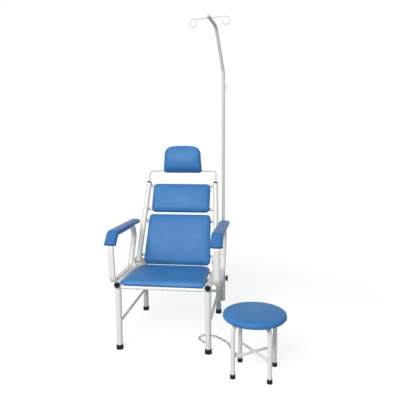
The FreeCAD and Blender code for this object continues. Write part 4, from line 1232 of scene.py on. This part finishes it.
@dataclass
class WeldedFrame:
    """Where the tubes of the frame meet, in millimetres from the chair's front middle."""

    origin_mm: tuple[float, float, float] = (-188.31, -210.088, 0.0)
    tube_mm: float = 38.0
    leg_half_mm: float = 280.0
    rear_leg_mm: float = 680.0
    rail_front_mm: tuple[float, float] = (-25.0, 420.0)
    stretcher_mm: float = 19.0
    stretcher_height_mm: float = 170.0
    stretcher_bead_mm: float = 1.8
    leg_ease_mm: float = 0.2

    def at(self, x: float, y: float, z: float) -> Vector:
        """A point given in millimetres from the chair's front middle."""
        return Vector(self.origin_mm) * MM + Vector((x, y, z)) * MM

    def rail_height(self, y: float) -> float:
        """Height of a seat rail's axis at a depth, in millimetres."""
        return self.rail_front_mm[1] - (y - self.rail_front_mm[0]) * math.tan(SEAT_SLOPE)

    def stretcher_weld(self, name: str, x: float, y: float, way: Sequence[float]) -> Weld:
        """The bead where a stretcher meets a leg.

        Args:
            name: Name of the bead.
            x: The leg's place across, in millimetres.
            y: The leg's place in depth.
            way: Direction of the stretcher from the leg.

        Returns:
            The bead.
        """
        return Weld(name, "frame", self.at(x, y, self.stretcher_height_mm), Vector(way),
                    Vector(Axis.UP.value), self.stretcher_mm, self.tube_mm, self.stretcher_bead_mm)

    def welds(self) -> list[Weld]:
        """Every bead of the chair's frame.

        Returns:
            The beads.
        """
        beads = []
        rail_way = Vector((0.0, math.cos(SEAT_SLOPE), -math.sin(SEAT_SLOPE)))
        down = -Vector(Axis.UP.value)
        for side, sign in (("left", -1), ("right", 1)):
            x = sign * self.leg_half_mm
            for end, y, toward in (("front", 0.0, 1), ("rear", self.rear_leg_mm, -1)):
                beads.append(Weld(f"weld_leg_{end}_{side}", "frame", self.at(x, y, self.rail_height(y)), down,
                                  rail_way, self.tube_mm - self.leg_ease_mm, self.tube_mm))
                beads.append(self.stretcher_weld(f"weld_stretcher_{end}_{side}", x, y, (0.0, toward, 0.0)))
            beads.append(self.stretcher_weld(
                f"weld_rear_stretcher_{side}", x, self.rear_leg_mm, (-sign, 0.0, 0.0)))
        return beads


@dataclass
class Screws:
    """Cross-head screws that hold a board to the bar behind it."""

    name: str
    body: str
    spots: list[Vector]
    way: Vector
    head_mm: float = 9.0
    dome_mm: float = 3.0
    dome: tuple[tuple[float, float], ...] = ((1.0, 0.0), (1.0, 0.35), (0.86, 0.7), (0.6, 0.92), (0.34, 1.0))
    steps: int = 16
    cross_steps: int = 4
    cross_tip: float = 0.32
    cross_root: float = 0.14
    cross_floor: float = 0.45

    def ring(self, spot: Vector, shares: Sequence[float], lift: float) -> list[Vector]:
        """Points of one ring of a head.

        Args:
            spot: Middle of the head's underside.
            shares: Reach of each point as a share of the head's radius.
            lift: Height of the ring as a share of the dome.

        Returns:
            The points.
        """
        out = self.way.normalized()
        side = out.cross(Vector((1.0, 0.0, 0.0))).normalized()
        third = out.cross(side)
        radius = self.head_mm / 2 * MM
        points = []
        for i, share in enumerate(shares):
            turn = 2 * math.pi * i / len(shares)
            points.append(spot + out * lift * self.dome_mm * MM
                          + (side * math.cos(turn) + third * math.sin(turn)) * (share * radius))
        return points

    def build(self, finishes: Finishes) -> bpy.types.Object:
        """Make domed heads with a cross recess.

        Args:
            finishes: The chair's finishes.

        Returns:
            One piece with all the heads.
        """
        cross = [self.cross_root if i % self.cross_steps else self.cross_tip for i in range(self.steps)]
        rings = [([share] * self.steps, lift) for share, lift in self.dome] + [(cross, self.cross_floor)]
        head = bands(len(rings), self.steps, Ends.CAPPED)
        points: list[Vector] = []
        faces: list[tuple[int, ...]] = []
        for spot in self.spots:
            faces += [tuple(i + len(points) for i in f) for f in head]
            for shares, lift in rings:
                points += self.ring(spot, shares, lift)
        piece = new_piece(self.name, points, faces, finishes.zinc, self.body)
        return piece


@dataclass
class BarScrews:
    """Rows of screws through the bars behind and under the boards."""

    bar_mm: float = 22.0
    sunk_mm: float = 0.1
    back_apart_mm: float = 150.0
    seat_apart_mm: float = 160.0

    def row(self, bar: str, name: str, body: str, way: Vector, apart_mm: float) -> Screws:
        """Three screws along a bar.

        Args:
            bar: The bar's CAD node.
            name: Name of the row.
            body: The CAD body that it rides on.
            way: The way that the heads look.
            apart_mm: Distance between the screws.

        Returns:
            The screws.
        """
        low, high = (Vector(c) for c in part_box(bar))
        out = way * (self.bar_mm / 2 - self.sunk_mm) * MM
        spots = [(low + high) / 2 + Vector((step * apart_mm * MM, 0.0, 0.0)) + out for step in (-1, 0, 1)]
        return Screws(name, body, spots, way)

    def build(self, finishes: Finishes) -> list[bpy.types.Object]:
        """Make the screws of every bar.

        Args:
            finishes: The chair's finishes.

        Returns:
            One piece per bar.
        """
        back = -Vector(Axis.BACK_FRONT.value)
        down = -Vector(Axis.SEAT_UP.value)
        rows = [self.row("back_crossbar_" + bar, "screws_back_" + bar, "back", back, self.back_apart_mm)
                for bar in ("low", "waist", "chest")]
        rows += [self.row("seat_crossbar_" + bar, "screws_seat_" + bar, "frame", down, self.seat_apart_mm)
                 for bar in ("front", "mid", "rear")]
        return [row.build(finishes) for row in rows]


@dataclass(frozen=True)
class Lamp:
    """A soft square lamp, with its place and size in metres."""

    name: str
    spot: tuple[float, float, float]
    target: tuple[float, float, float]
    size: float
    watts: float
    colour: str = "#FFF8F2"

    def build(self) -> None:
        """Hang the lamp and point it at its target."""
        data = bpy.data.lights.new(self.name, "AREA")
        data.size = self.size
        data.energy = self.watts
        data.color = linear(self.colour)[:3]
        lamp = into_scene(self.name, data)
        lamp.location = self.spot
        lamp.rotation_euler = (Vector(self.target) - Vector(self.spot)).to_track_quat("-Z", "Y").to_euler()


@dataclass
class Studio:
    """Pale floor, soft light and the camera at the photograph's angle."""

    camera_at: tuple[float, float, float] = (0.41477, -2.96766, 1.32824)
    yaw: float = -0.133255
    pitch: float = 0.135097
    roll: float = -0.00547
    lens_mm: float = 42.87
    sensor_mm: float = 36.0
    sight: float = 100.0
    lamps: tuple[Lamp, ...] = (Lamp("key", (-1.2, -3.9, 3.7), (0.0, 0.0, 0.7), 2.6, 275.0),
                               Lamp("fill", (3.2, -2.2, 2.2), (0.0, 0.0, 0.6), 2.4, 16.0))
    sky_colour: str = "#A8D6E4"
    sky: float = 0.29
    floor_colour: str = "#BDC4C8"
    floor_half: float = 30.0
    floor_drop_mm: float = 0.5
    floor_glow: float = 1.447
    floor_share: float = 0.6
    floor_near: float = 1.4
    floor_far: float = 4.0

    def camera(self) -> None:
        """Set the camera."""
        data = bpy.data.cameras.new("camera")
        data.lens = self.lens_mm
        data.sensor_width = self.sensor_mm
        data.clip_end = self.sight
        camera = into_scene("camera", data)
        level = math.cos(self.pitch)
        forward = Vector((math.sin(self.yaw) * level, math.cos(self.yaw) * level, -math.sin(self.pitch)))
        right = Vector((math.cos(self.yaw), -math.sin(self.yaw), 0.0))
        up = right.cross(forward)
        turned = right * math.cos(self.roll) + up * math.sin(self.roll)
        lifted = up * math.cos(self.roll) - right * math.sin(self.roll)
        matrix = Matrix((turned, lifted, -forward)).transposed().to_4x4()
        matrix.translation = Vector(self.camera_at)
        camera.matrix_world = matrix
        bpy.context.scene.camera = camera

    def seen_white(self, tree: bpy.types.NodeTree) -> bpy.types.NodeSocket:
        """Where a ray comes from the camera, a mirror or glass.

        Args:
            tree: Tree to add to.

        Returns:
            A factor of 1 for such rays.
        """
        path = add_node(tree, "ShaderNodeLightPath")
        shiny = add_node(tree, "ShaderNodeMath", {
            0: path.outputs["Is Camera Ray"], 1: path.outputs["Is Glossy Ray"]}, operation="MAXIMUM")
        clear = add_node(tree, "ShaderNodeMath", {
            0: shiny.outputs["Value"], 1: path.outputs["Is Transmission Ray"]}, operation="MAXIMUM")
        return clear.outputs["Value"]

    def soft_sky(self) -> None:
        """Light the stage from all round with a tinted sky that looks white itself."""
        world = bpy.data.worlds.new("soft_sky")
        bpy.context.scene.world = world
        tree = empty_tree(world)
        strength = add_node(tree, "ShaderNodeMapRange", {
            "Value": self.seen_white(tree), "To Min": self.sky, "To Max": 1.0})
        tint = add_node(tree, "ShaderNodeMix", {
            "Factor": self.seen_white(tree), MIX_A: linear(self.sky_colour), MIX_B: WHITE}, data_type="RGBA")
        sky = add_node(tree, "ShaderNodeBackground", {
            "Color": tint.outputs[MIX_RESULT], "Strength": strength.outputs["Result"]})
        add_node(tree, "ShaderNodeOutputWorld", {"Surface": sky.outputs["Background"]})

    def floor(self) -> None:
        """Lay a floor that is nearly white and keeps the shadow."""
        corners = [(x * self.floor_half, y * self.floor_half, 0.0)
                   for x, y in ((-1, -1), (1, -1), (1, 1), (-1, 1))]
        mesh = mesh_of("floor", corners, [(0, 1, 2, 3)])
        floor = into_scene("floor", mesh)
        floor.location.z = -self.floor_drop_mm * MM
        material = bpy.data.materials.new("pale_floor")
        tree = empty_tree(material)
        paint = add_node(tree, "ShaderNodeBsdfDiffuse", {"Color": linear(self.floor_colour)})
        place = add_node(tree, "ShaderNodeTexCoord").outputs["Object"]
        away = add_node(tree, "ShaderNodeVectorMath", {0: place}, operation="LENGTH")
        # Both the glow and its share fade to plain white with the distance from the chair
        strength, even = (add_node(tree, "ShaderNodeMapRange", {
            "Value": away.outputs["Value"], "From Min": self.floor_near, "From Max": self.floor_far,
            "To Min": near, "To Max": 1.0}, interpolation_type="SMOOTHSTEP").outputs["Result"]
            for near in (self.floor_glow, self.floor_share))
        glow = add_node(tree, "ShaderNodeEmission", {"Color": WHITE, "Strength": strength})
        share = add_node(tree, "ShaderNodeMath", {0: self.seen_white(tree), 1: even}, operation="MULTIPLY")
        both = add_node(tree, "ShaderNodeMixShader", {
            0: share.outputs["Value"], 1: paint.outputs["BSDF"], 2: glow.outputs["Emission"]})
        add_node(tree, "ShaderNodeOutputMaterial", {"Surface": both.outputs["Shader"]})
        mesh.materials.append(material)

    def build(self) -> None:
        """Set the stage."""
        bpy.context.scene.view_settings.view_transform = "Standard"
        self.soft_sky()
        self.camera()
        for lamp in self.lamps:
            lamp.build()
        self.floor()


def dress_frame(frame: Mapping[str, Any], finishes: Finishes) -> None:
    """Give every CAD node the finish of its slot.

    Args:
        finishes: The chair's finishes.
    """
    slots = {part["node"]: part["material_slot"] for part in frame["record"]["subparts"]}
    for name, node in frame["nodes"].items():
        node.data.materials.clear()
        node.data.materials.append(finishes.for_slot(slots[name]))


def main() -> None:
    """Build the chair's looks piece by piece."""
    logging.basicConfig(level=logging.INFO, format="%(name)s: %(message)s")
    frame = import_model()
    Studio().build()
    finishes = Finishes()
    dress_frame(frame, finishes)
    Chain().build(finishes)
    for cushion in (
        Cushion("seat", "frame", Axis.SEAT_UP, spread_mm=(9.0, 0.0), edge_mm=20.0, trim_mm=4.0, crown_mm=3.0,
                fill=0.7),
        Cushion("lumbar", "back", Axis.BACK_FRONT, spread_mm=(8.0, 2.0), lift_mm=7.0, crown_mm=7.0),
        Cushion("chest", "back", Axis.BACK_FRONT, spread_mm=(7.0, 4.0), lift_mm=7.0, crown_mm=7.0),
        Cushion("headrest", "headrest", Axis.HEAD_FRONT, voxel_mm=4.0, spread_mm=(3.0, 3.0), edge_mm=30.0,
                crown_mm=22.0, bolster=0.75, apex=-0.35, corner_mm=100.0, fill=0.8),
        Cushion("stool", "stool", Axis.UP, voxel_mm=4.0, spread_mm=(4.0, 4.0), edge_mm=18.0, crown_mm=2.0,
                bulge=0.55, fill=0.8),
    ):
        cushion.build(finishes)
    for cover in (
        CoverBack("seat_board", "frame", Axis.SEAT_UP),
        CoverBack("lumbar_board", "back", Axis.BACK_FRONT),
        CoverBack("chest_board", "back", Axis.BACK_FRONT),
        CoverBack("headrest_board", "headrest", Axis.HEAD_FRONT),
        CoverBack("stool_board", "stool", Axis.UP),
    ):
        cover.build(finishes)
    for side in ("left", "right"):
        ArmPad(side).build(finishes)
    for weld in WeldedFrame().welds():
        weld.build(finishes)
    BarScrews().build(finishes)


if __name__ == "__main__":
    main()
